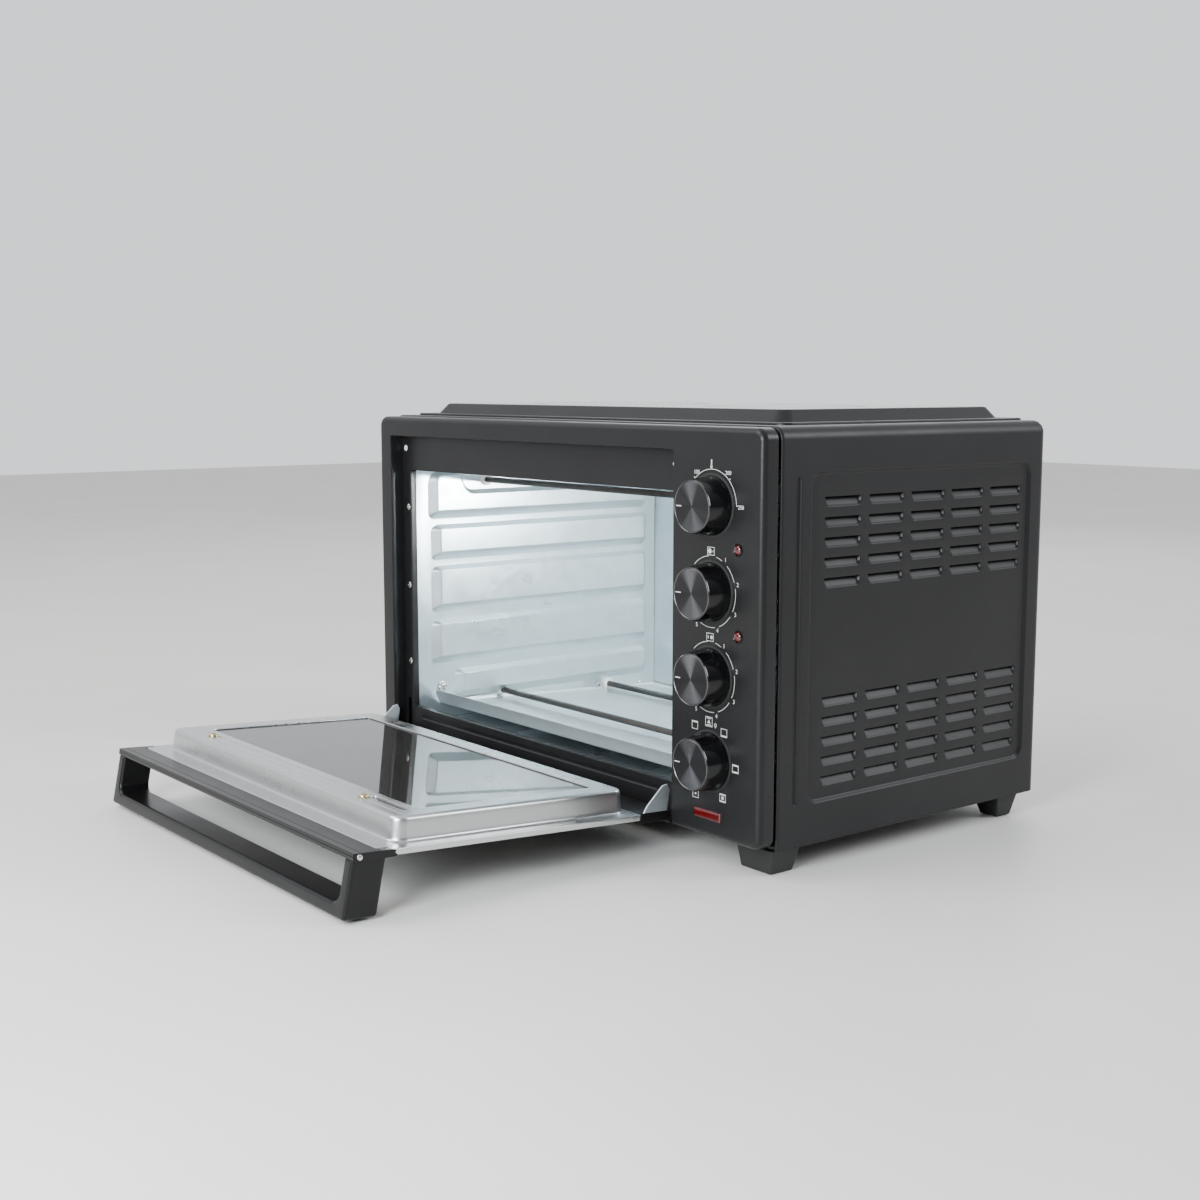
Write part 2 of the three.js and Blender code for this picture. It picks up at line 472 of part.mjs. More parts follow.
// ---------- knobs ----------
KNOB_Z.forEach((z, i) => {
  const n = ["thermostat", "hob_left", "hob_right", "function"][i];
  const y0 = -KNOB_DEPTH;
  const knob = cut(
    lathe([[0, y0 + 1.2], [KNOB_R_FACE - 0.8, y0 + 1.2], [KNOB_R_FACE - 0.8, y0], [KNOB_R_FACE, y0 + 0.3], [KNOB_R_BASE, -1], [KNOB_R_BASE - 2.2, -1], [KNOB_R_FACE - 3, y0 + 4.5], [6, y0 + 4.5], [6, -1.5], [0, -1.5]], 20, "y", [KNOB_X, z]),
    rod("y", [KNOB_X, z], y0 + 5, 0, SHAFT_R + 0.3, SHAFT_R + 0.3, 12),
  );
  put(`knob_${n}`, knob, "blackPlastic");
  put(`knob_cap_${n}`, cut(rod("y", [KNOB_X, z], y0 - 0.4, y0 + 0.9, KNOB_R_FACE - 1.2, KNOB_R_FACE - 1.2, 20), box(KNOB_X - 21, KNOB_X - 14, y0 - 1, y0 - 0.1, z - 0.5, z + 0.5)), "blackSteel");
  put(`shaft_${n}`, rod("y", [KNOB_X, z], y0 + 5.3, 18, SHAFT_R, SHAFT_R, 12), "steel");
});

assembly.position.y = Y_CENTRE;
const group = new THREE.Group();
group.add(assembly);
export default group;
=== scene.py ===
import bpy, bmesh, json, math, random
from mathutils import Vector, Matrix, geometry

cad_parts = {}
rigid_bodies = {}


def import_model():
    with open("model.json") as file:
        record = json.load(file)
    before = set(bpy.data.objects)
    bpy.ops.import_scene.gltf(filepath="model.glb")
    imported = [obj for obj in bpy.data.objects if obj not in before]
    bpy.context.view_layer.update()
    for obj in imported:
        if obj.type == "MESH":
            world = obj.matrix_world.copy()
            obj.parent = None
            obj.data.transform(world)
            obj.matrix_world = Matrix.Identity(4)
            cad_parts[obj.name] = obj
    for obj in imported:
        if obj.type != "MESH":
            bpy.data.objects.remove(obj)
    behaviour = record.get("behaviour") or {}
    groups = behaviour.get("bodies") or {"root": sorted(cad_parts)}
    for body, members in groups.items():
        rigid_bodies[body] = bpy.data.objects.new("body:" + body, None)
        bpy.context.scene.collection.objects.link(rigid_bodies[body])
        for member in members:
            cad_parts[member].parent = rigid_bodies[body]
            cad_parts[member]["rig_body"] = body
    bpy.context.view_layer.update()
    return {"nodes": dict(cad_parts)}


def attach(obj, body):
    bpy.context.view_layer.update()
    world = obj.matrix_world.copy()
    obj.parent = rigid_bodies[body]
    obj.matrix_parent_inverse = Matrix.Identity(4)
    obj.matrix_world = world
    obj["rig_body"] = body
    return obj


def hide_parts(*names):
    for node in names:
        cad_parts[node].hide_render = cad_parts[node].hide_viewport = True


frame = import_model()
N = frame["nodes"]
rnd = random.Random(11)
scene = bpy.context.scene
rad = math.radians

# ------------------------------------------------------------------ places
Y_SHIFT = -26.0


def V(x, y, z):
    """millimetres from the control panel's front plane -> metres in the row frame"""
    return Vector((x * 0.001, (y + Y_SHIFT) * 0.001, z * 0.001))


TILT = rad(3.35)
CT, ST = math.cos(TILT), math.sin(TILT)


def D(x, u, w):
    """on the open door: u away from the hinge, w towards the inner side"""
    return V(x, 6 - u * CT + w * ST, 28.7 + u * ST + w * CT)


TA = math.atan(0.0505)


def TR(x, p, q):
    """on the crumb tray: p backwards along its floor, q up from it"""
    return V(x, 46.5 + p * math.cos(TA) + q * math.sin(TA), 59.5 - 0.0505 * 46.5 - p * math.sin(TA) + q * math.cos(TA))


# ------------------------------------------------------------------ materials
class Mat:
    def __init__(self, name):
        self.m = bpy.data.materials.new(name)
        self.m.use_nodes = True
        self.t = self.m.node_tree
        self.t.nodes.clear()
        out = self.t.nodes.new("ShaderNodeOutputMaterial")
        self.b = self.t.nodes.new("ShaderNodeBsdfPrincipled")
        self.t.links.new(self.b.outputs[0], out.inputs[0])
        self.last_normal = None

    def node(self, kind, **props):
        n = self.t.nodes.new(kind)
        for k, v in props.items():
            setattr(n, k, v)
        return n

    def link(self, a, b):
        self.t.links.new(a, b)

    def set(self, **kw):
        names = {"base": "Base Color", "rough": "Roughness", "metal": "Metallic", "ior": "IOR", "trans": "Transmission Weight",
                 "coat": "Coat Weight", "coat_rough": "Coat Roughness", "aniso": "Anisotropic", "spec": "Specular IOR Level",
                 "emit": "Emission Color", "emit_s": "Emission Strength", "sub": "Subsurface Weight"}
        for k, v in kw.items():
            if k in ("base", "emit"):
                v = (*v, 1.0)
            self.b.inputs[names[k]].default_value = v
        return self

    def coords(self, stretch=None, kind="Object"):
        tc = self.node("ShaderNodeTexCoord")
        if stretch is None:
            return tc.outputs[kind]
        mp = self.node("ShaderNodeMapping")
        mp.inputs["Scale"].default_value = stretch
        self.link(tc.outputs[kind], mp.inputs["Vector"])
        return mp.outputs["Vector"]

    def noise(self, scale, detail=3.0, rough=0.55, stretch=None, dist=0.0):
        n = self.node("ShaderNodeTexNoise")
        n.inputs["Scale"].default_value = scale
        n.inputs["Detail"].default_value = detail
        n.inputs["Roughness"].default_value = rough
        n.inputs["Distortion"].default_value = dist
        self.link(self.coords(stretch), n.inputs["Vector"])
        return n.outputs[0]

    def range(self, fac, a, b, c, d):
        n = self.node("ShaderNodeMapRange")
        for i, v in enumerate((a, b, c, d)):
            n.inputs[i + 1].default_value = v
        self.link(fac, n.inputs[0])
        return n.outputs[0]

    def math(self, op, a, b):
        n = self.node("ShaderNodeMath", operation=op)
        for i, v in enumerate((a, b)):
            if isinstance(v, (int, float)):
                n.inputs[i].default_value = v
            else:
                self.link(v, n.inputs[i])
        return n.outputs[0]

    def mix(self, fac, a, b):
        n = self.node("ShaderNodeMix", data_type="RGBA")
        if isinstance(fac, (int, float)):
            n.inputs[0].default_value = fac
        else:
            self.link(fac, n.inputs[0])
        for i, v in ((6, a), (7, b)):
            if isinstance(v, tuple):
                n.inputs[i].default_value = (*v, 1.0)
            else:
                self.link(v, n.inputs[i])
        return n.outputs[2]

    def bump(self, height, strength, dist):
        n = self.node("ShaderNodeBump")
        n.inputs["Strength"].default_value = strength
        n.inputs["Distance"].default_value = dist
        self.link(height, n.inputs["Height"])
        if self.last_normal is not None:
            self.link(self.last_normal, n.inputs["Normal"])
        self.last_normal = n.outputs["Normal"]
        self.link(self.last_normal, self.b.inputs["Normal"])
        return self


def shade(c, k):
    return tuple(min(1.0, v * k) for v in c)


def coated(name, base, rough, metal=0.0, tone=0.25, peel=950, depth=0.00006, strength=0.25, spec=0.5, dust=0.0, coat=0.0):
    """powder coat or moulded plastic: fine texture in the bump, soft variation in tone and gloss, a little dust on top"""
    m = Mat(name)
    m.set(metal=metal, spec=spec, coat=coat, coat_rough=0.2)
    broad = m.noise(7.0, 4.0, 0.6)
    col = m.mix(m.range(broad, 0.3, 0.7, 0, 1), shade(base, 1 - tone), shade(base, 1 + tone))
    fine = m.noise(peel * 0.35, 2.0, 0.5)
    col = m.mix(m.range(fine, 0.35, 0.65, 0, 0.35), col, shade(base, 1 + 1.3 * tone))
    if dust > 0:
        geo = m.node("ShaderNodeNewGeometry")
        sep = m.node("ShaderNodeSeparateXYZ")
        m.link(geo.outputs["Normal"], sep.inputs[0])
        up = m.range(sep.outputs["Z"], 0.6, 1.0, 0.0, dust)
        specks = m.range(m.noise(260.0, 4.0, 0.7), 0.5, 0.72, 0.15, 1.0)
        col = m.mix(m.math("MULTIPLY", up, specks), col, (0.20, 0.19, 0.18))
    m.link(col, m.b.inputs["Base Color"])
    r = m.range(m.noise(11.0, 5.0, 0.6), 0.3, 0.7, rough[0], rough[1])
    m.link(r, m.b.inputs["Roughness"])
    m.bump(m.noise(peel, 2.0, 0.5), strength, depth)
    return m.m


def sheet_metal(name, base, rough, metal=0.9, spangle=0.08, brush=None, peel=380, strength=0.05, grime=0.86):
    m = Mat(name)
    m.set(metal=metal)
    vor = m.node("ShaderNodeTexVoronoi")
    vor.inputs["Scale"].default_value = 90.0
    warp = m.node("ShaderNodeTexNoise")
    warp.inputs["Scale"].default_value = 60.0
    m.link(m.coords(), warp.inputs["Vector"])
    add = m.node("ShaderNodeVectorMath", operation="MULTIPLY_ADD")
    m.link(warp.outputs[1], add.inputs[0])
    add.inputs[1].default_value = (0.012, 0.012, 0.012)
    m.link(m.coords(), add.inputs[2])
    m.link(add.outputs[0], vor.inputs["Vector"])
    bw = m.node("ShaderNodeSeparateColor")
    m.link(vor.outputs["Color"], bw.inputs[0])
    cell = bw.outputs[0]
    col = m.mix(m.range(cell, 0, 1, 0, 1), shade(base, 1 - spangle), shade(base, 1 + spangle))
    streak = m.noise(6.0, 5.0, 0.65, stretch=brush or (1.0, 0.35, 1.0))
    col = m.mix(m.range(streak, 0.35, 0.7, 0, 0.5), col, shade(base, grime))
    m.link(col, m.b.inputs["Base Color"])
    r = m.range(streak, 0.3, 0.7, rough[0], rough[1])
    r2 = m.math("ADD", r, m.range(cell, 0, 1, -0.025, 0.025))
    m.link(r2, m.b.inputs["Roughness"])
    if brush:
        m.bump(m.noise(120.0, 3.0, 0.5, stretch=brush), strength, 0.00005)
    m.bump(m.noise(peel, 3.0, 0.5), strength, 0.00004)
    return m.m


def glass(name, tint, rough, trans, smear=0.04, ior=1.5):
    m = Mat(name)
    m.set(trans=trans, ior=ior)
    broad = m.noise(5.0, 4.0, 0.6)
    m.link(m.mix(m.range(broad, 0.3, 0.7, 0, 1), shade(tint, 0.94), shade(tint, 1.06)), m.b.inputs["Base Color"])
    m.link(m.range(m.noise(9.0, 6.0, 0.7, stretch=(1, 2.5, 1)), 0.4, 0.75, rough, rough + smear), m.b.inputs["Roughness"])
    return m.m


def spun(name, base):
    m = Mat(name)
    m.set(metal=1.0, aniso=0.85)
    tan = m.node("ShaderNodeTangent", direction_type="RADIAL", axis="Y")
    m.link(tan.outputs[0], m.b.inputs["Tangent"])
    tc = m.coords(kind="Generated")
    sub = m.node("ShaderNodeVectorMath", operation="SUBTRACT")
    m.link(tc, sub.inputs[0])
    sub.inputs[1].default_value = (0.5, 0.5, 0.5)
    sep = m.node("ShaderNodeSeparateXYZ")
    m.link(sub.outputs[0], sep.inputs[0])
    ang = m.math("ARCTAN2", sep.outputs["Z"], sep.outputs["X"])
    # painted highlight: bright sectors by angle round the disc centre stand in for the bow-tie reflection of the spun
    # grooves
    painted_highlight_fan = m.math("SINE", m.math("ADD", m.math("MULTIPLY", ang, 2.0), -1.9), 0.0)
    painted_highlight_ripple = m.math("SINE", m.math("MULTIPLY", ang, 5.0), 0.0)
    painted_highlight_fan = m.math("ADD", painted_highlight_fan, m.math("MULTIPLY", painted_highlight_ripple, 0.28))
    wave = m.node("ShaderNodeTexWave", wave_type="RINGS", rings_direction="Y")
    wave.inputs["Scale"].default_value = 19.0
    wave.inputs["Distortion"].default_value = 0.4
    m.link(sub.outputs[0], wave.inputs["Vector"])
    col = m.mix(m.range(wave.outputs[1], 0, 1, 0, 1), shade(base, 0.8), shade(base, 1.2))
    # painted highlight: base colour lifted 4.2 times in the fan sectors; the ring tone above is the real turned texture
    col = m.mix(m.range(painted_highlight_fan, 0.1, 1.2, 0.0, 0.8), col, shade(base, 4.2))
    m.link(col, m.b.inputs["Base Color"])
    m.link(m.range(painted_highlight_fan, -1.0, 1.2, 0.36, 0.27), m.b.inputs["Roughness"])
    m.bump(wave.outputs[1], 0.08, 0.0001)
    return m.m


M = {
    "steel_black": coated("black_coated_steel", (0.0085, 0.0083, 0.0090), (0.37, 0.45), peel=800, strength=0.12, dust=0.02, spec=0.27),
    "fascia": coated("black_coated_fascia", (0.0085, 0.0083, 0.0088), (0.30, 0.38), peel=850, strength=0.08, dust=0.02, spec=0.27),
    "plastic": coated("black_moulding", (0.0042, 0.0041, 0.0045), (0.27, 0.34), peel=900, strength=0.02, dust=0.01, spec=0.27),
    "knob": coated("knob_moulding", (0.0028, 0.0028, 0.0032), (0.10, 0.17), peel=900, strength=0.02, dust=0.0, spec=0.38),
    "dark": coated("dark_gap", (0.006, 0.006, 0.006), (0.5, 0.6), peel=900, strength=0.1),
    "disc": spun("dark_spun_disc", (0.045, 0.045, 0.048)),
    "rim": sheet_metal("turned_rim", (0.14, 0.14, 0.145), (0.22, 0.30), 0.95, 0.03),
    "galv": sheet_metal("galvanised_sheet", (0.655, 0.735, 0.762), (0.27, 0.38), 0.84, 0.030),
    "tray": sheet_metal("galvanised_tray", (0.62, 0.68, 0.70), (0.30, 0.42), 0.75, 0.035),
    "satin": sheet_metal("satin_steel", (0.57, 0.575, 0.58), (0.27, 0.31), 0.96, 0.006, peel=420, strength=0.0, grime=0.95),
    "screw": sheet_metal("bright_screw", (0.62, 0.61, 0.58), (0.20, 0.30), 1.0, 0.03),
    "brass": sheet_metal("yellow_zinc", (0.62, 0.50, 0.30), (0.22, 0.32), 1.0, 0.06),
    "outer_glass": glass("door_glass", (0.26, 0.255, 0.25), 0.01, 0.92),
    "inner_glass": glass("door_inner_glass", (0.16, 0.155, 0.15), 0.015, 0.85),
    "hob_glass": coated("hob_glass", (0.0050, 0.0050, 0.0055), (0.04, 0.08), tone=0.15, peel=300, strength=0.0, dust=0.04, coat=0.3),
    "print": coated("white_print", (0.56, 0.56, 0.55), (0.45, 0.55), tone=0.04, peel=1500, strength=0.08),
    "hob_print": coated("grey_print", (0.16, 0.16, 0.165), (0.28, 0.36), tone=0.06, peel=1500, strength=0.05),
    "silicone": coated("white_silicone", (0.66, 0.65, 0.62), (0.45, 0.6), tone=0.05, peel=700, strength=0.1),
    "rubber": coated("black_rubber", (0.008, 0.008, 0.008), (0.52, 0.68), peel=800, strength=0.35),
    "ceramic": coated("ceramic", (0.72, 0.70, 0.64), (0.35, 0.55), tone=0.06, peel=500, strength=0.2),
    "mica": coated("switch_body", (0.28, 0.21, 0.13), (0.5, 0.65), tone=0.2, peel=300, strength=0.25),
    "sheath": coated("heater_sheath", (0.050, 0.046, 0.043), (0.36, 0.55), metal=0.75, tone=0.4, peel=350, strength=0.25),
}
red = Mat("red_lens")
red.set(trans=0.35, ior=1.49, coat=0.8, coat_rough=0.05)
red.link(red.mix(red.range(red.noise(90.0), 0.3, 0.7, 0, 1), (0.085, 0.0008, 0.002), (0.125, 0.0013, 0.0032)), red.b.inputs["Base Color"])
red.link(red.range(red.noise(160.0), 0.3, 0.7, 0.08, 0.16), red.b.inputs["Roughness"])
M["red"] = red.m
lampglass = Mat("lamp_glass")
lampglass.set(trans=0.8, ior=1.47, emit=(1.0, 0.97, 0.90), emit_s=2.2)
lampglass.link(lampglass.mix(lampglass.range(lampglass.noise(120.0), 0.3, 0.7, 0, 1), (0.86, 0.86, 0.82), (0.93, 0.93, 0.90)), lampglass.b.inputs["Base Color"])
lampglass.link(lampglass.range(lampglass.noise(200.0), 0.3, 0.7, 0.12, 0.22), lampglass.b.inputs["Roughness"])
M["lamp"] = lampglass.m


# ------------------------------------------------------------------ mesh tools
def body_of(node):
    return N[node]["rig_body"]


def finish_piece(name, me, mat, body, nodes=(), solid=0.0, solid_off=-1.0, bevel=0.0, segs=3, limit=32, weighted=True, sharp=None):
    ob = bpy.data.objects.new(name, me)
    scene.collection.objects.link(ob)
    me.materials.clear()
    me.materials.append(M[mat])
    for p in me.polygons:
        p.use_smooth = True
    if sharp is not None:
        me.set_sharp_from_angle(angle=rad(sharp))
    if solid:
        s = ob.modifiers.new("thickness", "SOLIDIFY")
        s.thickness = solid
        s.offset = solid_off
    if bevel:
        b = ob.modifiers.new("edges", "BEVEL")
        b.width = bevel
        b.segments = segs
        b.limit_method = "ANGLE"
        b.angle_limit = rad(limit)
        b.use_clamp_overlap = False
        b.miter_outer = "MITER_ARC"
    if weighted:
        w = ob.modifiers.new("normals", "WEIGHTED_NORMAL")
        w.keep_sharp = True
        w.weight = 80
    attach(ob, body)
    if nodes:
        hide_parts(*nodes)
    return ob


def mesh_from(bm, name):
    me = bpy.data.meshes.new(name)
    bm.normal_update()
    bm.to_mesh(me)
    bm.free()
    return me


def refine(node, mat, bevel, segs=3, limit=32, change=None, weighted=True, name=None):
    """the CAD solid again with eased edges"""
    me = N[node].data.copy()
    bm = bmesh.new()
    bm.from_mesh(me)
    bmesh.ops.remove_doubles(bm, verts=bm.verts, dist=3e-6)
    bmesh.ops.dissolve_limit(bm, angle_limit=rad(0.8), verts=bm.verts, edges=bm.edges, use_dissolve_boundaries=False)
    if change:
        for v in bm.verts:
            v.co = change(v.co.copy())
    for layer in list(bm.loops.layers.uv.values()):
        bm.loops.layers.uv.remove(layer)
    bm.to_mesh(me)
    bm.free()
    return finish_piece(name or "look_" + node, me, mat, body_of(node), (node,), bevel=bevel, segs=segs, limit=limit, weighted=weighted)


def rpoly(pts, radii, inset=0.0, n=6, scale=None):
    """counterclockwise outline, moved inwards by inset, with rounded corners; the same number of points at any inset"""
    k = len(pts)
    if isinstance(radii, (int, float)):
        radii = [radii] * k
    lines = []
    for i in range(k):
        a, b = Vector(pts[i]), Vector(pts[(i + 1) % k])
        d = (b - a).normalized()
        nrm = Vector((-d.y, d.x))
        lines.append((a + nrm * inset * (scale[i] if scale else 1.0), d))
    out = []
    corners = []
    for i in range(k):
        (p, d0), (q, d1) = lines[i - 1], lines[i]
        cr = d0.x * d1.y - d0.y * d1.x
        t = ((q - p).x * d1.y - (q - p).y * d1.x) / cr
        corners.append((p + d0 * t, d0, d1, cr))
    for i, (c, d0, d1, cr) in enumerate(corners):
        convex = cr > 0
        k2 = inset * ((scale[i] + scale[i - 1]) / 2 if scale else 1.0)
        r = max(radii[i] - k2, 0.3) if convex else radii[i] + k2
        ang = math.acos(max(-1, min(1, d0.dot(d1))))
        back = r * math.tan(ang / 2)
        start = c - d0 * back
        nrm = Vector((-d0.y, d0.x)) * (1 if convex else -1)
        centre = start + nrm * r
        a0 = math.atan2((start - centre).y, (start - centre).x)
        for j in range(n + 1):
            a = a0 + (ang * j / n) * (1 if convex else -1)
            out.append((centre.x + r * math.cos(a), centre.y + r * math.sin(a)))
    return out


def rect(x0, x1, y0, y1):
    return [(x0, y0), (x1, y0), (x1, y1), (x0, y1)]


def circle(x, y, r, n=24, a0=0.0):
    return [(x + r * math.cos(a0 + 2 * math.pi * i / n), y + r * math.sin(a0 + 2 * math.pi * i / n)) for i in range(n)]


def inside(p, poly):
    c = False
    x, y = p
    j = len(poly) - 1
    for i in range(len(poly)):
        xi, yi = poly[i]
        xj, yj = poly[j]
        if (yi > y) != (yj > y) and x < (xj - xi) * (y - yi) / (yj - yi) + xi:
            c = not c
        j = i
    return c


class Sheet:
    """a pressed sheet drawn on a plane: rings of points, joined and filled. place(a, b, d) gives the point in space"""

    def __init__(self, bm, place, flip=False):
        self.bm, self.place, self.flip = bm, place, flip

    def ring(self, pts, d):
        depth = d if callable(d) else (lambda a, b: d)
        return [(self.bm.verts.new(self.place(a, b, depth(a, b))), (a, b)) for a, b in pts]

    def face(self, vs):
        if self.flip:
            vs = vs[::-1]
        try:
            return self.bm.faces.new(vs)
        except ValueError:
            return None

    def bridge(self, r0, r1, closed=True):
        n = len(r0)
        for i in range(n if closed else n - 1):
            j = (i + 1) % n
            self.face([r0[i][0], r0[j][0], r1[j][0], r1[i][0]])

    def cap(self, r):
        self.face([v for v, _ in r])

    def fill(self, outer, holes=()):
        rings = [outer, *holes]
        verts, edges, owner = [], [], []
        for r in rings:
            base = len(verts)
            for v, p in r:
                verts.append(Vector(p))
                owner.append(v)
            edges += [(base + i, base + (i + 1) % len(r)) for i in range(len(r))]
        res = geometry.delaunay_2d_cdt(verts, edges, [], 1, 1e-7)
        pts, faces, orig = res[0], res[2], res[3]
        polys = [[p for _, p in r] for r in rings]
        boxes = [(min(p[0] for p in q), max(p[0] for p in q), min(p[1] for p in q), max(p[1] for p in q)) for q in polys]
        for f in faces:
            if any(not orig[i] for i in f):
                continue
            c = sum((pts[i] for i in f), Vector((0, 0))) / len(f)
            if not inside(c, polys[0]):
                continue
            bad = False
            for q, b in zip(polys[1:], boxes[1:]):
                if b[0] < c.x < b[1] and b[2] < c.y < b[3] and inside(c, q):
                    bad = True
                    break
            if not bad:
                vs = [owner[orig[i][0]] for i in f]
                if len(set(vs)) == len(vs):
                    self.face(vs)

    def press(self, pts, radii, profile, n=6, close=True):
        """rounded outline pressed along a profile of (inset, depth); returns (first ring, last ring)"""
        rings = [self.ring(rpoly(pts, radii, i, n), d) for i, d in profile]
        for a, b in zip(rings, rings[1:]):
            self.bridge(a, b)
        if close:
            self.fill(rings[-1])
        return rings[0], rings[-1]


def lathe(bm, profile, place, seg=64):
    """profile of (radius, height); place(x, y, h) gives the point"""
    rows = []
    for r, h in profile:
        if r < 1e-6:
            rows.append([bm.verts.new(place(0, 0, h))])
        else:
            rows.append([bm.verts.new(place(r * math.cos(2 * math.pi * i / seg), r * math.sin(2 * math.pi * i / seg), h)) for i in range(seg)])
    for a, b in zip(rows, rows[1:]):
        if len(a) == 1 and len(b) == 1:
            continue
        for i in range(seg):
            j = (i + 1) % seg
            if len(a) == 1:
                bm.faces.new([a[0], b[i], b[j]])
            elif len(b) == 1:
                bm.faces.new([a[i], b[0], a[j]])
            else:
                bm.faces.new([a[i], b[i], b[j], a[j]])


def lathe_piece(name, profile, place, mat, body, nodes=(), seg=64, sharp=38, closed_profile=False):
    bm = bmesh.new()
    lathe(bm, profile + ([profile[0]] if closed_profile else []), place, seg)
    bmesh.ops.remove_doubles(bm, verts=bm.verts, dist=1e-7)
    bmesh.ops.recalc_face_normals(bm, faces=bm.faces)
    return finish_piece(name, mesh_from(bm, name), mat, body, nodes, weighted=False, sharp=sharp)


def slab(bm, place, pts, radii, profile, n=6, flip=False):
    """closed block: rounded outline carried along (inset, height) and capped at both ends"""
    s = Sheet(bm, place, flip)
    rings = [s.ring(rpoly(pts, radii, i, n), d) for i, d in profile]
    for a, b in zip(rings, rings[1:]):
        s.bridge(a, b)
    s.cap(rings[-1])
    s.face([v for v, _ in rings[0]][::-1])


def slab_piece(name, place, pts, radii, profile, mat, body, nodes=(), n=6, sharp=35):
    bm = bmesh.new()
    slab(bm, place, pts, radii, profile, n)
    bmesh.ops.recalc_face_normals(bm, faces=bm.faces)
    return finish_piece(name, mesh_from(bm, name), mat, body, nodes, weighted=True, sharp=sharp)


def cross_screw(name, place, r, h, mat, body, nodes=(), turn=0.4, washer=0.0):
    """pan head with a pressed cross; place(a, b, h)"""
    bm = bmesh.new()
    s = Sheet(bm, place)
    prof = [(1.0, 0.0), (1.0, 0.3), (0.95, 0.62), (0.84, 0.86), (0.70, 0.98), (0.62, 1.0)]
    rings = [s.ring(circle(0, 0, r * k, 28), h * d) for k, d in prof]
    for a, b in zip(rings, rings[1:]):
        s.bridge(a, b)
    a, b = r * 0.13, r * 0.50
    cross = [(b, -a), (b, a), (a, a), (a, b), (-a, b), (-a, a), (-b, a), (-b, -a), (-a, -a), (-a, -b), (a, -b), (a, -a)]
    ct, st = math.cos(turn), math.sin(turn)
    cross = [(x * ct - y * st, x * st + y * ct) for x, y in cross]
    c0 = s.ring(cross, h)
    c1 = s.ring([(x * 0.86, y * 0.86) for x, y in cross], h * 0.45)
    s.fill(rings[-1], [c0])
    s.bridge(c0, c1)
    s.fill(c1)
    s.face([v for v, _ in rings[0]][::-1])
    if washer:
        w = [s.ring(circle(0, 0, washer, 28), d) for d in (-0.05, 0.45)]
        w.append(s.ring(circle(0, 0, washer - 0.3, 28), 0.6))
        s.bridge(w[0], w[1])
        s.bridge(w[1], w[2])
        s.cap(w[2])
        s.face([v for v, _ in w[0]][::-1])
    bmesh.ops.recalc_face_normals(bm, faces=bm.faces)
    return finish_piece(name, mesh_from(bm, name), mat, body, nodes, weighted=False, sharp=32)


def at(origin, a, b, n):
    """place function on a local frame, millimetres"""
    o, a, b, n = Vector(origin), Vector(a), Vector(b), Vector(n)
    return lambda x, y, h: o + (a * x + b * y + n * h) * 0.001


X, Y, Z = Vector((1, 0, 0)), Vector((0, 1, 0)), Vector((0, 0, 1))
ROOT = body_of("outer_housing")
DOOR = body_of("door_outer_glass")
TRAY = body_of("crumb_tray")

# ------------------------------------------------------------------ housing wrap with pressed sides
HW, HZ0, HZ1, HY0, HY1, ER = 292.2, 21.6, 366.1, 20.1, 357.2, 11.0
bm = bmesh.new()
S0, S1 = 23.1, HY1 - 10.0


def section(inset):
    r = ER - inset
    pts = [(-HW + inset, HZ0), (-HW + inset, HZ1 - ER)]
    for i in range(1, 9):
        a = math.pi - (math.pi / 2) * i / 8
        pts.append((-HW + ER + r * math.cos(a), HZ1 - ER + r * math.sin(a)))
    pts.append((HW - ER, HZ1 - inset))
    for i in range(1, 9):
        a = math.pi / 2 - (math.pi / 2) * i / 8
        pts.append((HW - ER + r * math.cos(a), HZ1 - ER + r * math.sin(a)))
    pts.append((HW - inset, HZ0))
    return pts


stations = [(HY0, 2.4), (HY0 + 0.35, 1.25), (HY0 + 1.0, 0.5), (HY0 + 2.0, 0.1), (S0, 0.0), (S1, 0.0)]
for i in range(1, 9):
    a = (math.pi / 2) * i / 8
    stations.append((S1 + 10.0 * math.sin(a), 9.4 * (1 - math.cos(a))))
rings = [[bm.verts.new(V(x, y, z)) for x, z in section(i)] for y, i in stations]
for k in range(len(rings) - 1):
    for j in range(len(rings[0]) - 1):
        if k == 4 and j in (0, len(rings[0]) - 2, 9):
            continue
        bm.faces.new([rings[k][j], rings[k][j + 1], rings[k + 1][j + 1], rings[k + 1][j]])
top = Sheet(bm, lambda a, b, d: V(a, b, HZ1 - d))
o = top.ring(rect(-HW + ER, HW - ER, S0, S1), 0)
top.fill(o, [top.ring(rect(-236, 236, 78, 302), 0)])


def louvre(s, yc, zt, base):
    hw, zb, r = 21.4, zt - 8.7, 4.6

    def chain(i):
        rr = max(r - i, 1.5)
        L, R, B = yc - hw + i, yc + hw - i, zb + i
        pts = [(L, zt)]
        for j in range(9):
            a = math.pi + (math.pi / 2) * j / 8
            pts.append((L + rr + rr * math.cos(a), B + rr + rr * math.sin(a)))
        for j in range(9):
            a = -math.pi / 2 + (math.pi / 2) * j / 8
            pts.append((R - rr + rr * math.cos(a), B + rr + rr * math.sin(a)))
        pts.append((R, zt))
        return pts

    def f(b):
        return 0.45 + 3.9 * max(0.0, (b - zb) / (zt - zb))
    c0 = s.ring(chain(0.0), base)
    c1 = s.ring(chain(0.5), lambda a, b: base + 0.18 * f(b))
    c2 = s.ring(chain(1.3), lambda a, b: base + 0.72 * f(b))
    c3 = s.ring(chain(2.2), lambda a, b: base + f(b))
    for p, q in ((c0, c1), (c1, c2), (c2, c3)):
        s.bridge(p, q, closed=False)
    s.fill(c3)
    return c0


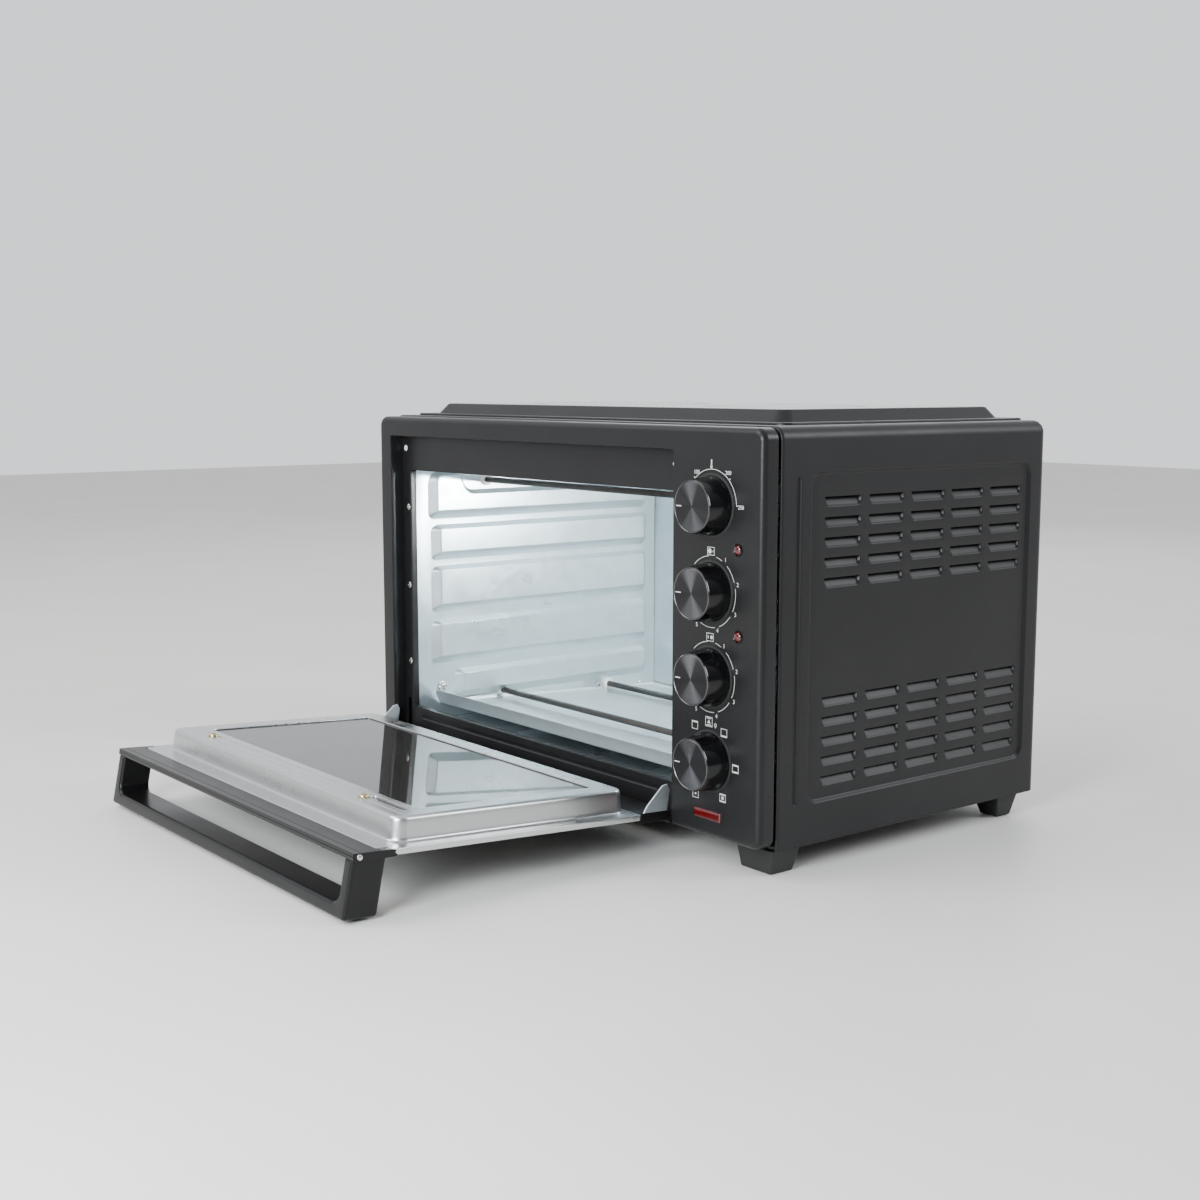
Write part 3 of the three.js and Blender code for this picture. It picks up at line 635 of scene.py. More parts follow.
for sgn in (1, -1):
    s = Sheet(bm, (lambda q: lambda a, b, d: V(q * (HW - d), a, b))(sgn), flip=sgn < 0)
    outer = s.ring([(S0, HZ0), (S1, HZ0), (S1, HZ1 - ER), (S0, HZ1 - ER)], 0)
    p0, p1 = s.press(rect(53, 335, 55, 330), 12.5, [(0, 0), (0.5, 0.12), (1.2, 0.55), (2.0, 1.3), (2.8, 2.05), (3.5, 2.4), (4.2, 2.5)], close=False)
    g0, _ = s.press(rect(36.5, 43.5, 57, 326), 3.45, [(0, 0), (0.4, 0.12), (0.9, 0.6), (1.5, 1.45), (2.1, 1.9), (2.8, 2.0)])
    s.fill(outer, [p0, g0])
    holes = []
    for zc in (306.3, 141.0):
        for i in range(5):
            for j in range(5):
                holes.append(louvre(s, 93.3 + 52.12 * i, zc - 16.64 * j + 2.0, 2.5))
    s.fill(p1, holes)
bmesh.ops.remove_doubles(bm, verts=bm.verts, dist=2e-6)
finish_piece("housing_wrap", mesh_from(bm, "housing_wrap"), "steel_black", ROOT, ("outer_housing",), solid=0.0011, sharp=50)

# rear panel sits inside the rolled rear edge
bm = bmesh.new()
s = Sheet(bm, lambda a, b, d: V(a, 359.2 - d, b), flip=True)
rr = [s.ring(rpoly(rect(-282.6, 282.6, 21.7, 356.4), 7.0, i, 6), d) for i, d in ((0, 1.8), (0, 0.9), (0.25, 0.35), (0.8, 0.05), (1.6, 0.0))]
for p, q in zip(rr, rr[1:]):
    s.bridge(p, q)
e0, e1 = s.press(rect(-236, 236, 132, 276), 10, [(0, 0), (0.5, 0.12), (1.3, 0.7), (2.2, 1.35), (3.0, 1.5)], n=6, close=False)
vents = []
for x in (-190, -110, 110, 190):
    for k in range(5):
        vents.append(s.press(rect(x - 28, x + 28, 150 + k * 26, 156 + k * 26), 2.9, [(0, 1.5), (0.25, 1.6), (0.5, 1.9), (0.6, 3.0)], n=5, close=False)[0])
port = s.ring(circle(222, 62, 8.0, 32), 0)
s.fill(rr[-1], [e0, port])
s.fill(e1, vents)
finish_piece("look_rear_panel", mesh_from(bm, "look_rear_panel"), "steel_black", ROOT, ("rear_panel",), solid=0.0009, sharp=48)
bm = bmesh.new()
s = Sheet(bm, lambda a, b, d: V(a, b, 21.5 + d), flip=True)
rr = [s.ring(rpoly(rect(-287.4, 287.4, 22.4, 353.4), 7.0, i, 6), d) for i, d in ((0, 3.2), (0, 1.2), (0.3, 0.4), (1.0, 0.0))]
for p, q in zip(rr, rr[1:]):
    s.bridge(p, q)
slots = [s.press(rect(x - 30, x + 30, y - 3, y + 3), 2.9, [(0, 0), (0.3, 0.12), (0.6, 0.5), (0.65, 1.3)], n=5, close=False)[0] for x in (-180, -60, 60, 180) for y in (90, 150, 230, 290)]
s.fill(rr[-1], slots)
finish_piece("look_base_pan", mesh_from(bm, "look_base_pan"), "dark", ROOT, ("base_pan",), solid=0.0009, sharp=48)
for i, (x, z) in enumerate([(-262, 40), (-262, 190), (-262, 336), (262, 40), (262, 190), (262, 336), (0, 340), (0, 36)]):
    cross_screw(f"rear_screw_{i+1}", at(V(x, 359.2, z), X, Z, Y), 3.6, 1.9, "screw", ROOT, turn=rnd.uniform(0, 1.5))

# ------------------------------------------------------------------ front frame and control panel
bm = bmesh.new()
s = Sheet(bm, lambda a, b, d: V(a, d, b))
RX0, RX1, RZ1 = -269.3, 183.9, 344.7
path = [(-HW, 24.8), (RX0, 24.8), (RX0, RZ1), (RX1, RZ1), (RX1, 24.8), (HW, 24.8), (HW, 364.9), (-HW, 364.9)]
near = lambda a, b: RX0 - 1.5 < a < RX1 + 1.5 and b < RZ1 + 1.5


def fascia_ring(inset, d):
    scale = [1, 0.18, 0.18, 0.18, 1, 1, 1, 1]
    pts = rpoly(path, [10, 0.6, 1.6, 1.6, 0.6, 10, 10, 10], inset, 8, scale)
    return s.ring(pts, lambda a, b: (min(15.2, d) if near(a, b) else d))


fr = [fascia_ring(i, d) for i, d in ((1.6, 16.5), (0.35, 16.4), (0.0, 15.9), (0.0, 5.6), (0.12, 4.4), (0.6, 3.0), (1.5, 1.7), (2.7, 0.75), (4.0, 0.2), (5.4, 0.0))]
for a, b in zip(fr, fr[1:]):
    s.bridge(a, b)
s.fill(fr[-1])
plane = s.ring([(RX0 - 0.4, 24.9), (RX1 + 0.4, 24.9), (RX1 + 0.4, RZ1 + 0.4), (RX0 - 0.4, RZ1 + 0.4)], 14.5)
mouth = s.press(rect(-255, 177, 57, 310), 3.0, [(0, 14.5), (0.25, 14.58), (0.6, 14.9), (0.8, 15.5), (0.8, 21.4)], close=False)[0]
slot_l = s.press(rect(-266, -259, 33, 66), 1.0, [(0, 14.5), (0.2, 14.6), (0.3, 16.4)], n=3, close=False)[0]
slot_r = s.press(rect(178.9, 182.2, 33, 66), 1.0, [(0, 14.5), (0.2, 14.6), (0.3, 16.4)], n=3, close=False)[0]
sill = s.press(rect(-238, 160, 45.5, 50.5), 2.4, [(0, 14.5), (0.4, 14.6), (1.0, 15.1), (1.6, 15.4)], n=5)[0]
s.fill(plane, [mouth, slot_l, slot_r, sill])
finish_piece("look_front_fascia", mesh_from(bm, "look_front_fascia"), "fascia", ROOT, ("front_fascia",), solid=0.0010, sharp=48)


def panel_print(name, polys, mat="print", y0=-0.02, y1=-0.10, place=None, body=ROOT):
    """thin raised ink: closed outlines in X and Z"""
    place = place or (lambda a, b, h: V(a, -h, b))
    bm = bmesh.new()
    for outer, holes in polys:
        s = Sheet(bm, place)
        lo = [s.ring(r, -y0) for r in (outer, *holes)]
        hi = [s.ring(r, -y1) for r in (outer, *holes)]
        s.fill(hi[0], hi[1:])
        s.flip = True
        s.fill(lo[0], lo[1:])
        s.flip = False
        s.bridge(lo[0], hi[0])
        for a, b in zip(lo[1:], hi[1:]):
            s.bridge(b, a)
    bmesh.ops.recalc_face_normals(bm, faces=bm.faces)
    return finish_piece(name, mesh_from(bm, name), mat, body, weighted=False, sharp=30)


def arc_band(cx, cz, r, a0, a1, w=0.42, n=None):
    """clockwise clock angles in degrees, 0 at twelve"""
    n = n or max(4, int(abs(a1 - a0) / 4))
    out, inn = [], []
    for i in range(n + 1):
        a = rad(90 - (a0 + (a1 - a0) * i / n))
        out.append((cx + (r + w / 2) * math.cos(a), cz + (r + w / 2) * math.sin(a)))
        inn.append((cx + (r - w / 2) * math.cos(a), cz + (r - w / 2) * math.sin(a)))
    return (out + inn[::-1])[::-1]


def frame_box(x, z, w, h, t=0.42):
    return (rect(x - w / 2, x + w / 2, z - h / 2, z + h / 2), [rect(x - w / 2 + t, x + w / 2 - t, z - h / 2 + t, z + h / 2 - t)])


def bar(x, z, w, h):
    return (rect(x - w / 2, x + w / 2, z - h / 2, z + h / 2), [])


def text_piece(name, items, mat="print", body=ROOT):
    """numbers on the panel, from the built-in font, as thin solid ink"""
    bm = bmesh.new()
    for word, x, z, size in items:
        cu = bpy.data.curves.new("ink", "FONT")
        cu.body = word
        cu.size = size * 0.001
        cu.align_x = "CENTER"
        cu.align_y = "CENTER"
        cu.extrude = 0.00004
        cu.resolution_u = 3
        ob = bpy.data.objects.new("ink", cu)
        scene.collection.objects.link(ob)
        bpy.context.view_layer.update()
        me = bpy.data.meshes.new_from_object(ob.evaluated_get(bpy.context.evaluated_depsgraph_get()))
        o = V(x, -0.06, z)
        me.transform(Matrix(((1, 0, 0, o.x), (0, 0, -1, o.y), (0, 1, 0, o.z), (0, 0, 0, 1))))
        bm.from_mesh(me)
        bpy.data.objects.remove(ob)
        bpy.data.curves.remove(cu)
        bpy.data.meshes.remove(me)
    bmesh.ops.remove_doubles(bm, verts=bm.verts, dist=1e-7)
    bmesh.ops.recalc_face_normals(bm, faces=bm.faces)
    return finish_piece(name, mesh_from(bm, name), mat, body, weighted=False, sharp=30)


KX, KZ = 232.5, [301.3, 230.8, 160.3, 89.8]
marks = [(arc_band(KX, KZ[0], 29.4, -44, 88), [])]
for z in KZ[1:3]:
    for a0, a1 in ((-44, -6), (12, 26), (40, 70), (80, 118), (128, 160), (170, 205)):
        marks.append((arc_band(KX, z, 29.4, a0, a1), []))
for a in (-44, 0, 44, 88):
    t = rad(90 - a)
    c, s_ = math.cos(t), math.sin(t)
    marks.append(([(KX + r * c + q * s_, KZ[0] + r * s_ - q * c) for r, q in ((29.0, -0.3), (31.4, -0.3), (31.4, 0.3), (29.0, 0.3))][::-1], []))
# thermometer sign
marks.append((circle(231.8, 332.6, 1.35, 16), []))
marks.append((rpoly(rect(231.2, 232.4, 332.8, 338.6), 0.55, 0, 3), []))
# heat-zone signs
marks += [frame_box(232.1, 264.1, 8.6, 6.8), (circle(230.6, 264.1, 2.1, 20), []), frame_box(235.0, 264.1, 1.5, 1.5, 0.3)]
marks += [frame_box(231.8, 193.3, 8.6, 6.8), (circle(233.6, 193.3, 1.5, 20), []), bar(229.6, 193.3, 0.8, 2.6)]
# function signs
marks += [frame_box(214.1, 117.3, 7.4, 7.0), bar(214.1, 120.1, 6.4, 1.2)]
marks += [frame_box(231.4, 122.7, 8.6, 8.2), bar(231.4, 125.6, 5.4, 0.7), bar(231.4, 119.9, 5.4, 0.7), ([(229.6, 121.4), (233.2, 121.4), (231.4, 124.6)], [])]
marks += [(circle(239.4, 121.0, 1.5, 16), [circle(239.4, 121.0, 1.0, 16)]), bar(239.4, 118.9, 1.3, 0.7)]
marks += [frame_box(249.8, 116.1, 7.4, 7.0), bar(249.8, 113.4, 6.4, 1.2)]
marks += [frame_box(263.9, 88.7, 7.4, 7.0), bar(263.9, 91.4, 6.4, 1.0), bar(263.9, 86.0, 6.4, 1.0)]
marks += [frame_box(249.0, 61.5, 7.4, 7.0), (circle(249.0, 61.5, 1.5, 16), []), bar(249.0, 64.2, 6.4, 0.8), bar(249.0, 58.8, 6.4, 0.8)]
marks += [frame_box(215.6, 59.0, 7.4, 7.0), (circle(215.6, 59.0, 0.9, 14), [])]
panel_print("panel_signs", marks)
text_piece("panel_numbers", [
    ("100", 213.9, 327.6, 4.7), ("200", 251.8, 328.2, 4.7), ("250", 267.0, 301.4, 4.7),
    ("1", 249.6, 258.2, 5.0), ("2", 264.2, 239.3, 5.0), ("3", 261.8, 214.8, 5.0), ("4", 240.8, 199.6, 5.0), ("5", 215.4, 201.8, 5.0),
    ("1", 248.8, 187.6, 5.0), ("2", 264.1, 168.7, 5.0), ("3", 261.2, 143.6, 5.0), ("4", 240.5, 128.6, 5.0), ("5", 215.6, 131.0, 5.0)])

# flange screws round the mouth, at its left and right sides
for i, z in enumerate((270.3, 187.6, 106.0)):
    cross_screw(f"flange_screw_left_{i+1}", at(V(-259.0, 14.5, z), X, Z, -Y), 3.5, 1.15, "screw", ROOT, turn=rnd.uniform(0, 1.5))
    cross_screw(f"flange_screw_right_{i+1}", at(V(180.0, 14.5, z), X, Z, -Y), 2.9, 1.15, "screw", ROOT, turn=rnd.uniform(0, 1.5))

for name, x in (("door_buffer_left", -262), ("door_buffer_right", 171)):
    pl = at(V(x, 0, 332), X, Z, Y)
    lathe_piece("look_" + name, [(0, 13.5), (1.2, 13.55), (2.3, 13.7), (3.0, 13.95), (3.2, 14.2), (1.3, 14.4), (1.3, 18), (0, 18)], pl, "silicone", ROOT, (name,), seg=32)

# lamps on the panel
for name, x, z in (("pilot_lens_upper", 264.1, 267.4), ("pilot_lens_lower", 265.2, 197.4)):
    pl = at(V(x, 0, z), X, Z, Y)
    lathe_piece("look_" + name, [(0, -2.05), (1.6, -1.95), (2.9, -1.6), (3.8, -1.0), (4.15, -0.4), (4.15, 6), (0, 6)], pl, "red", ROOT, (name,), seg=48)
    lathe_piece(name + "_bezel", [(4.2, -0.1), (4.2, -0.9), (4.5, -1.15), (4.95, -1.0), (5.2, -0.5), (5.25, -0.1)], pl, "knob", ROOT, seg=48, closed_profile=True)

front = lambda a, b, h: V(a, -h, b)
slab_piece("look_power_lens", front, rect(214.6, 247.4, 40.0, 48.0), 1.2, [(0, -6), (0, 0.7), (0.35, 1.2), (1.2, 1.55), (2.4, 1.65)], "red", ROOT, ("power_lens",))
bm = bmesh.new()
s = Sheet(bm, front)
rr = [s.ring(rpoly(rect(213.3, 248.7, 38.8, 49.2), 1.6, i), d) for i, d in ((0, 0.02), (0, 0.55), (0.3, 0.85), (0.8, 0.9), (1.15, 0.7), (1.2, 0.02))]
for a, b in zip(rr, rr[1:] + rr[:1]):
    s.bridge(a, b)
bmesh.ops.recalc_face_normals(bm, faces=bm.faces)
finish_piece("power_lens_bezel", mesh_from(bm, "power_lens_bezel"), "knob", ROOT, weighted=False, sharp=40)

# ------------------------------------------------------------------ knobs
for i, n in enumerate(("thermostat", "hob_left", "hob_right", "function")):
    z = KZ[i]
    pl = at(V(KX, 0, z), X, Z, Y)
    b = body_of("knob_" + n)
    prof = [(0, -20.3), (20.7, -20.3), (20.9, -21.3), (21.15, -21.5), (21.5, -21.5), (21.8, -21.3), (21.95, -20.9), (24.1, -3.4), (24.55, -2.2), (24.6, -1.3), (24.3, -1.0), (23.0, -1.0), (22.4, -1.4), (19.6, -17.0), (6.2, -17.0), (6.0, -1.5), (3.3, -1.5), (3.3, -16.2), (0, -16.2)]
    lathe_piece("look_knob_" + n, prof, pl, "knob", b, ("knob_" + n,), seg=128, sharp=30)
    cap = [(0, -21.70), (7, -21.74), (14, -21.84), (19.4, -21.95), (20.15, -21.93), (20.45, -21.7), (20.5, -21.2), (20.5, -20.4), (0, -20.4)]
    lathe_piece("look_knob_cap_" + n, cap, pl, "disc", b, ("knob_cap_" + n,), seg=128, sharp=30)
    lathe_piece("knob_rim_" + n, [(20.55, -20.5), (20.55, -21.75), (20.8, -21.98), (21.15, -21.98), (21.35, -21.75), (21.4, -21.4), (21.2, -20.5)], pl, "rim", b, seg=128, sharp=40, closed_profile=True)
    bm = bmesh.new()
    slab(bm, at(V(KX, 0, z), X, Z, -Y), rect(-18.8, -12.4, -0.42, 0.42), 0.35, [(0, 21.75), (0, 22.0), (0.08, 22.06)], 3)
    bmesh.ops.recalc_face_normals(bm, faces=bm.faces)
    finish_piece("knob_pointer_" + n, mesh_from(bm, "knob_pointer"), "print", b, weighted=False, sharp=30)
    # dark collar in the panel behind each knob
    lathe_piece("knob_collar_" + n, [(9, -0.05), (9, -0.5), (25.6, -0.5), (26.1, -0.35), (26.3, -0.05)], pl, "dark", ROOT, seg=96, sharp=30, closed_profile=True)

# ------------------------------------------------------------------ oven cavity
RIB = [(0, 0), (0.35, 0.08), (0.9, 0.42), (8.6, 5.75), (9.2, 6.08), (9.9, 6.2)]
TOPK = 0.5


def wall(name, node, place, flip, mirror):
    bm = bmesh.new()
    s = Sheet(bm, place, flip)
    outer = s.ring(rect(21.8, 349.6, 40.4, 309.6), 0)
    end = 282.0 if mirror else 336.0

    def rib(pts, radii, scale):
        rr = [s.ring(rpoly(pts, radii, i, 6, scale), d) for i, d in RIB]
        for p, q in zip(rr, rr[1:]):
            s.bridge(p, q)
        s.fill(rr[-1])
        return rr[0]
    holes = [rib([(36, 256), (end, 256), (end, 286), (84, 286), (76, 307), (36, 307)], [6, 9, 9, 11, 10, 13], [1, 0.8, TOPK, TOPK, TOPK, 1])]
    for y0, z0, z1 in ((39, 212, 250), (39, 156, 206), (38, 100, 148), (66, 59, 92)):
        holes.append(rib(rect(y0, 336, z0, z1), [5, 9, 9, 8], [1, 0.8, TOPK, 1]))
    if mirror:
        a, _ = s.press(rect(289.5, 330.5, 260.5, 282), 4, [(0, 0), (0.5, 0.6), (1.5, 1.0), (2.4, 0.6), (2.6, -1.0)], close=False)
        holes.append(a)
    s.fill(outer, holes)
    return finish_piece(name, mesh_from(bm, name), "galv", ROOT, (node,), solid=0.0010, sharp=60)


wall("look_liner_left", "liner_left", lambda a, b, d: V(-255 + d, a, b), False, False)
wall("look_liner_right", "liner_right", lambda a, b, d: V(177 - d, a, b), True, True)

bm = bmesh.new()
s = Sheet(bm, lambda a, b, d: V(a, 350 - d, b))
outer = s.ring(rect(-255, 177, 33, 310), 0)
h0, _ = s.press(rect(-215, 137, 70, 278), 26, [(0, 0), (1, 0.12), (2.6, 0.9), (4.4, 2.4), (6, 3.5), (7.4, 4.0), (8.4, 4.1)], n=10)
s.fill(outer, [h0])
roof = Sheet(bm, lambda a, b, d: V(a, b, 310 - d), flip=True)
outer2 = roof.ring(rect(-255, 177, 21.8, 350), 0)
h1, _ = roof.press(rect(-215, 137, 60, 322), 22, [(0, 0), (1, 0.12), (2.6, 0.8), (4.4, 2.0), (6, 2.8), (7.4, 3.0)], n=8)
roof.fill(outer2, [h1])
bmesh.ops.remove_doubles(bm, verts=bm.verts, dist=2e-6)
finish_piece("look_liner_roof_back", mesh_from(bm, "look_liner_roof_back"), "galv", ROOT, ("liner_roof_back",), solid=0.0010, sharp=60)

bm = bmesh.new()
s = Sheet(bm, lambda a, b, d: V(a, b, 40 - d))
outer = s.ring(rect(-255, 177, 21.8, 349.6), 0)
h0, _ = s.press(rect(-148, 70, 60, 309), 14, [(0, 0), (0.8, 0.15), (2.0, 1.0), (3.4, 3.0), (4.8, 4.9), (6.0, 5.7), (7.0, 5.8)], n=8)
ha, _ = s.press(rect(-232, -166, 60, 309), 12, [(0, 0), (1, -0.15), (2.4, -0.8), (3.8, -1.5), (5, -1.7)], n=6)
hb, _ = s.press(rect(90, 154, 60, 309), 12, [(0, 0), (1, -0.15), (2.4, -0.8), (3.8, -1.5), (5, -1.7)], n=6)
s.fill(outer, [h0, ha, hb])
finish_piece("look_liner_floor", mesh_from(bm, "look_liner_floor"), "galv", ROOT, ("liner_floor",), solid=0.0010, sharp=60)

cross_screw("look_liner_screw_left", at(V(-254.9, 50.5, 73.8), Y, Z, X), 4.5, 2.6, "screw", ROOT, ("liner_screw_left",), 0.5, washer=6.4)
for i, (y, z) in enumerate(((264.8, 51.2), (328, 47.5))):
    cross_screw(f"liner_stud_{i+1}", at(V(-254.9, y, z), Y, Z, X), 2.6, 1.7, "screw", ROOT, turn=0.9)

for n, (y, z) in {"lower_element_front": (130, 62), "lower_element_rear": (279, 52), "upper_element_front": (110, 296), "upper_element_rear": (260, 296)}.items():
    pl = at(V(0, y, z), Y, Z, X)
    lathe_piece("look_" + n, [(0, -270), (1.4, -270), (1.4, -268), (3.0, -268), (3.25, -267.6), (3.25, 189.6), (3.0, 190), (1.4, 190), (1.4, 196), (0, 196)], pl, "sheath", ROOT, (n,), seg=32)
    for side, x0, x1 in (("left", -262.0, -253.4 if z == 62 else -251.5), ("right", 175.4 if z == 62 else 173.5, 184.0)):
        lathe_piece(f"{n}_collar_{side}", [(3.35, x0), (6.2, x0), (6.4, x0 + 0.4), (6.4, x1 - 0.7), (6.0, x1 - 0.2), (5.0, x1), (3.6, x1), (3.35, x1 - 0.3)], pl, "ceramic", ROOT, seg=36, closed_profile=True)
slab_piece("look_lamp_lens", at(V(0, 0, 0) , Y, Z, -X), rect(292.6, 327.4, 263.5, 279), 3.0, [(0, -179.6), (0, -175.2), (0.5, -174.5), (1.4, -174.0), (3, -173.7)], "lamp", ROOT, ("lamp_lens",))

# ------------------------------------------------------------------ door
refine("door_outer_glass", "outer_glass", 0.0005, 3)
refine("door_inner_glass", "inner_glass", 0.0003, 2)
bm = bmesh.new()
s = Sheet(bm, lambda a, b, d: D(d, a, b))
sect = [(290.4, 6.2), (312.6, 6.2), (312.6, 1.9), (312.9, 1.6), (313.3, 1.75), (313.5, 2.2), (313.5, 4.4), (313.3, 4.75), (312.95, 4.9), (312.95, 5.15), (313.3, 5.3), (313.45, 5.7), (313.4, 6.7), (313.0, 7.15), (312.3, 7.3), (307.4, 7.3), (307.1, 7.05), (306.4, 7.05), (306.1, 7.3), (290.8, 7.3), (290.4, 6.95)]
ra, rb = s.ring(sect, -266.2), s.ring(sect, 180.8)
s.bridge(ra, rb)
s.fill(rb)
s.fill(ra)
bmesh.ops.recalc_face_normals(bm, faces=bm.faces)
finish_piece("look_door_top_trim", mesh_from(bm, "look_door_top_trim"), "plastic", DOOR, ("door_top_trim",), sharp=35)
# clips over the glass edge at both ends, each with a bright pin
for side, sg, xe in (("left", -1, -266.0), ("right", 1, 180.6)):
    bm = bmesh.new()
    s = Sheet(bm, (lambda q, e: lambda a, b, d: D(e + q * d, a, b))(sg, xe))
    out = [(274.5, 2.6), (276.5, 1.3), (306, 0.9), (312.6, 1.2), (312.9, 6.6), (306, 7.1), (280, 7.1), (276.0, 6.3), (279.0, 4.4)]
    rr = [s.ring(rpoly(out, [0.5, 0.6, 2, 0.7, 0.7, 2, 1.2, 0.5, 1.5], i, 3), d) for i, d in ((0.2, -7.5), (0, -7.2), (0, 0.55), (0.15, 0.85), (0.45, 1.0))]
    for p, q in zip(rr, rr[1:]):
        s.bridge(p, q)
    s.fill(rr[0])
    s.fill(rr[-1])
    bmesh.ops.recalc_face_normals(bm, faces=bm.faces)
    finish_piece("trim_clip_" + side, mesh_from(bm, "trim_clip"), "plastic", DOOR, sharp=35)
    lathe_piece("trim_pin_" + side, [(0, 0), (2.3, 0), (2.3, 1.7), (2.0, 2.2), (1.2, 2.5), (0, 2.6)], at(D(xe + sg * 0.2, 308.6, 4.3), Vector((0, -CT, ST)), Vector((0, ST, CT)), X * sg), "screw", DOOR, seg=32)
refine("door_bottom_bar", "plastic", 0.0005, 2)
bm = bmesh.new()
s = Sheet(bm, lambda a, b, d: D(a, 284.5 + 29.5 * d + 6.0 * (-0.9 - b) / 43.1, b))
ho = [(-265.2, -44), (179.8, -44), (179.8, 1.9), (167.8, 1.9), (167.8, -33), (-253.2, -33), (-253.2, 1.9), (-265.2, 1.9)]
rr = [s.ring(rpoly(ho, [3.0, 3.0, 0.8, 0.8, 9.0, 9.0, 0.8, 0.8], i, 8), d) for i, d in ((2.4, 0.0), (1.3, 0.012), (0.5, 0.038), (0.1, 0.075), (0, 0.11), (0, 0.89), (0.1, 0.925), (0.5, 0.962), (1.3, 0.988), (2.4, 1.0))]
for p, q in zip(rr, rr[1:]):
    s.bridge(p, q)
s.fill(rr[0])
s.fill(rr[-1])
bmesh.ops.recalc_face_normals(bm, faces=bm.faces)
finish_piece("look_door_handle", mesh_from(bm, "look_door_handle"), "plastic", DOOR, ("door_handle",), sharp=50)
refine("hinge_stay_left", "galv", 0.0003, 2)
refine("hinge_stay_right", "galv", 0.0003, 2)

bm = bmesh.new()
s = Sheet(bm, D, flip=True)
fl = [s.ring(rpoly(rect(-265.7, 180.3, 37.0, 288.0), 1.5, i), w) for i, w in ((-0.75, 2.3), (-0.75, 6.2), (-0.62, 6.7), (-0.25, 7.0), (0.3, 7.1))]
for a, b in zip(fl, fl[1:]):
    s.bridge(a, b)
prof = [(-2.2, 7.1), (-1.2, 7.3), (-0.45, 8.0), (-0.05, 9.2), (0.15, 11.0), (1.0, 20.0), (1.35, 23.0), (1.75, 24.6), (2.6, 25.8), (3.9, 26.4), (5.4, 26.5)]
outl = rect(-251.5, 167.0, 41.4, 270.0)
fr = [s.ring(rpoly(outl, 12.5, i, 10), w) for i, w in prof]
for a, b in zip(fr, fr[1:]):
    s.bridge(a, b)
s.fill(fl[-1], [fr[0]])
win = [s.ring(rpoly(rect(-229, 146, 63, 237), 5, i, 6), w) for i, w in ((0, 26.5), (0.45, 26.35), (0.8, 25.9), (0.95, 25.2), (1.0, 22.6))]
for a, b in zip(win, win[1:]):
    s.bridge(a, b)
seam, _ = s.press(rect(-243, 74, 245.5, 247.3), 0.85, [(0, 26.5), (0.15, 26.3), (0.35, 25.7), (0.5, 25.4)], n=4)
step, _ = s.press(rect(91, 148, 242.5, 250.5), 2.0, [(0, 26.5), (0.35, 26.3), (0.6, 25.6), (0.8, 21.0)], n=4)
emb, _ = s.press(rect(-243, 158, 256.5, 259.0), 1.2, [(0, 26.5), (0.2, 26.42), (0.6, 26.15), (0.9, 26.0)], n=4)
s.fill(fr[-1], [win[0], seam, step, emb])
finish_piece("look_door_inner_frame", mesh_from(bm, "look_door_inner_frame"), "satin", DOOR, ("door_inner_frame",), solid=0.0008, sharp=50)
# dark slotted insert in the frame's recess
for i in range(6):
    x = 96.5 + i * 9.2
    slab_piece(f"vent_bar_{i+1}", D, rect(x, x + 5.0, 243.6, 249.4), 1.0, [(0, 21.3), (0, 24.2), (0.3, 24.7), (0.8, 24.9)], "dark", DOOR, n=3)
# bead that holds the inner glass
bm = bmesh.new()
s = Sheet(bm, D, flip=True)
rr = [s.ring(rpoly(rect(-229.4, 146.4, 62.6, 237.4), 5.2, i, 6), w) for i, w in ((-0.6, 25.0), (-0.6, 25.7), (1.0, 25.75), (1.7, 25.6), (2.1, 25.3), (2.2, 25.0))]
for a, b in zip(rr, rr[1:] + rr[:1]):
    s.bridge(a, b)
bmesh.ops.recalc_face_normals(bm, faces=bm.faces)
finish_piece("inner_glass_bead", mesh_from(bm, "inner_glass_bead"), "dark", DOOR, weighted=False, sharp=40)

dn = Vector((0, ST, CT))
du = Vector((0, -CT, ST))
for side, x, u in (("left", -196, 250), ("right", 92, 254)):
    cross_screw("look_retainer_screw_" + side, at(D(x, u, 26.6), X, du, dn), 4.3, 2.3, "brass", DOOR, ("retainer_screw_" + side,), rnd.uniform(0, 1.5), washer=5.2)

# ------------------------------------------------------------------ crumb tray
bm = bmesh.new()
X0, X1, TL = -253.0, 175.0, 300.0


def smooth(t):
    t = max(0.0, min(1.0, t))
    return t * t * (3 - 2 * t)


cols = [(X0 + 0.10, 3.0), (X0 + 0.12, 2.0), (X0 + 0.25, 1.1), (X0 + 0.6, 0.42), (X0 + 1.2, 0.1), (X0 + 2.0, 0.0)]
mid = [X0 + 4 + i * 6.0 for i in range(66)] + [X1 - 28 + i * 2.0 for i in range(13)]
cols = cols + [(x, 0.0) for x in mid if X0 + 2.5 < x < X1 - 2.5] + [(X1 - a, l) for a, l in ((2.0, 0.0), (1.2, 0.1), (0.6, 0.42), (0.25, 1.1), (0.12, 2.0), (0.10, 3.0))]
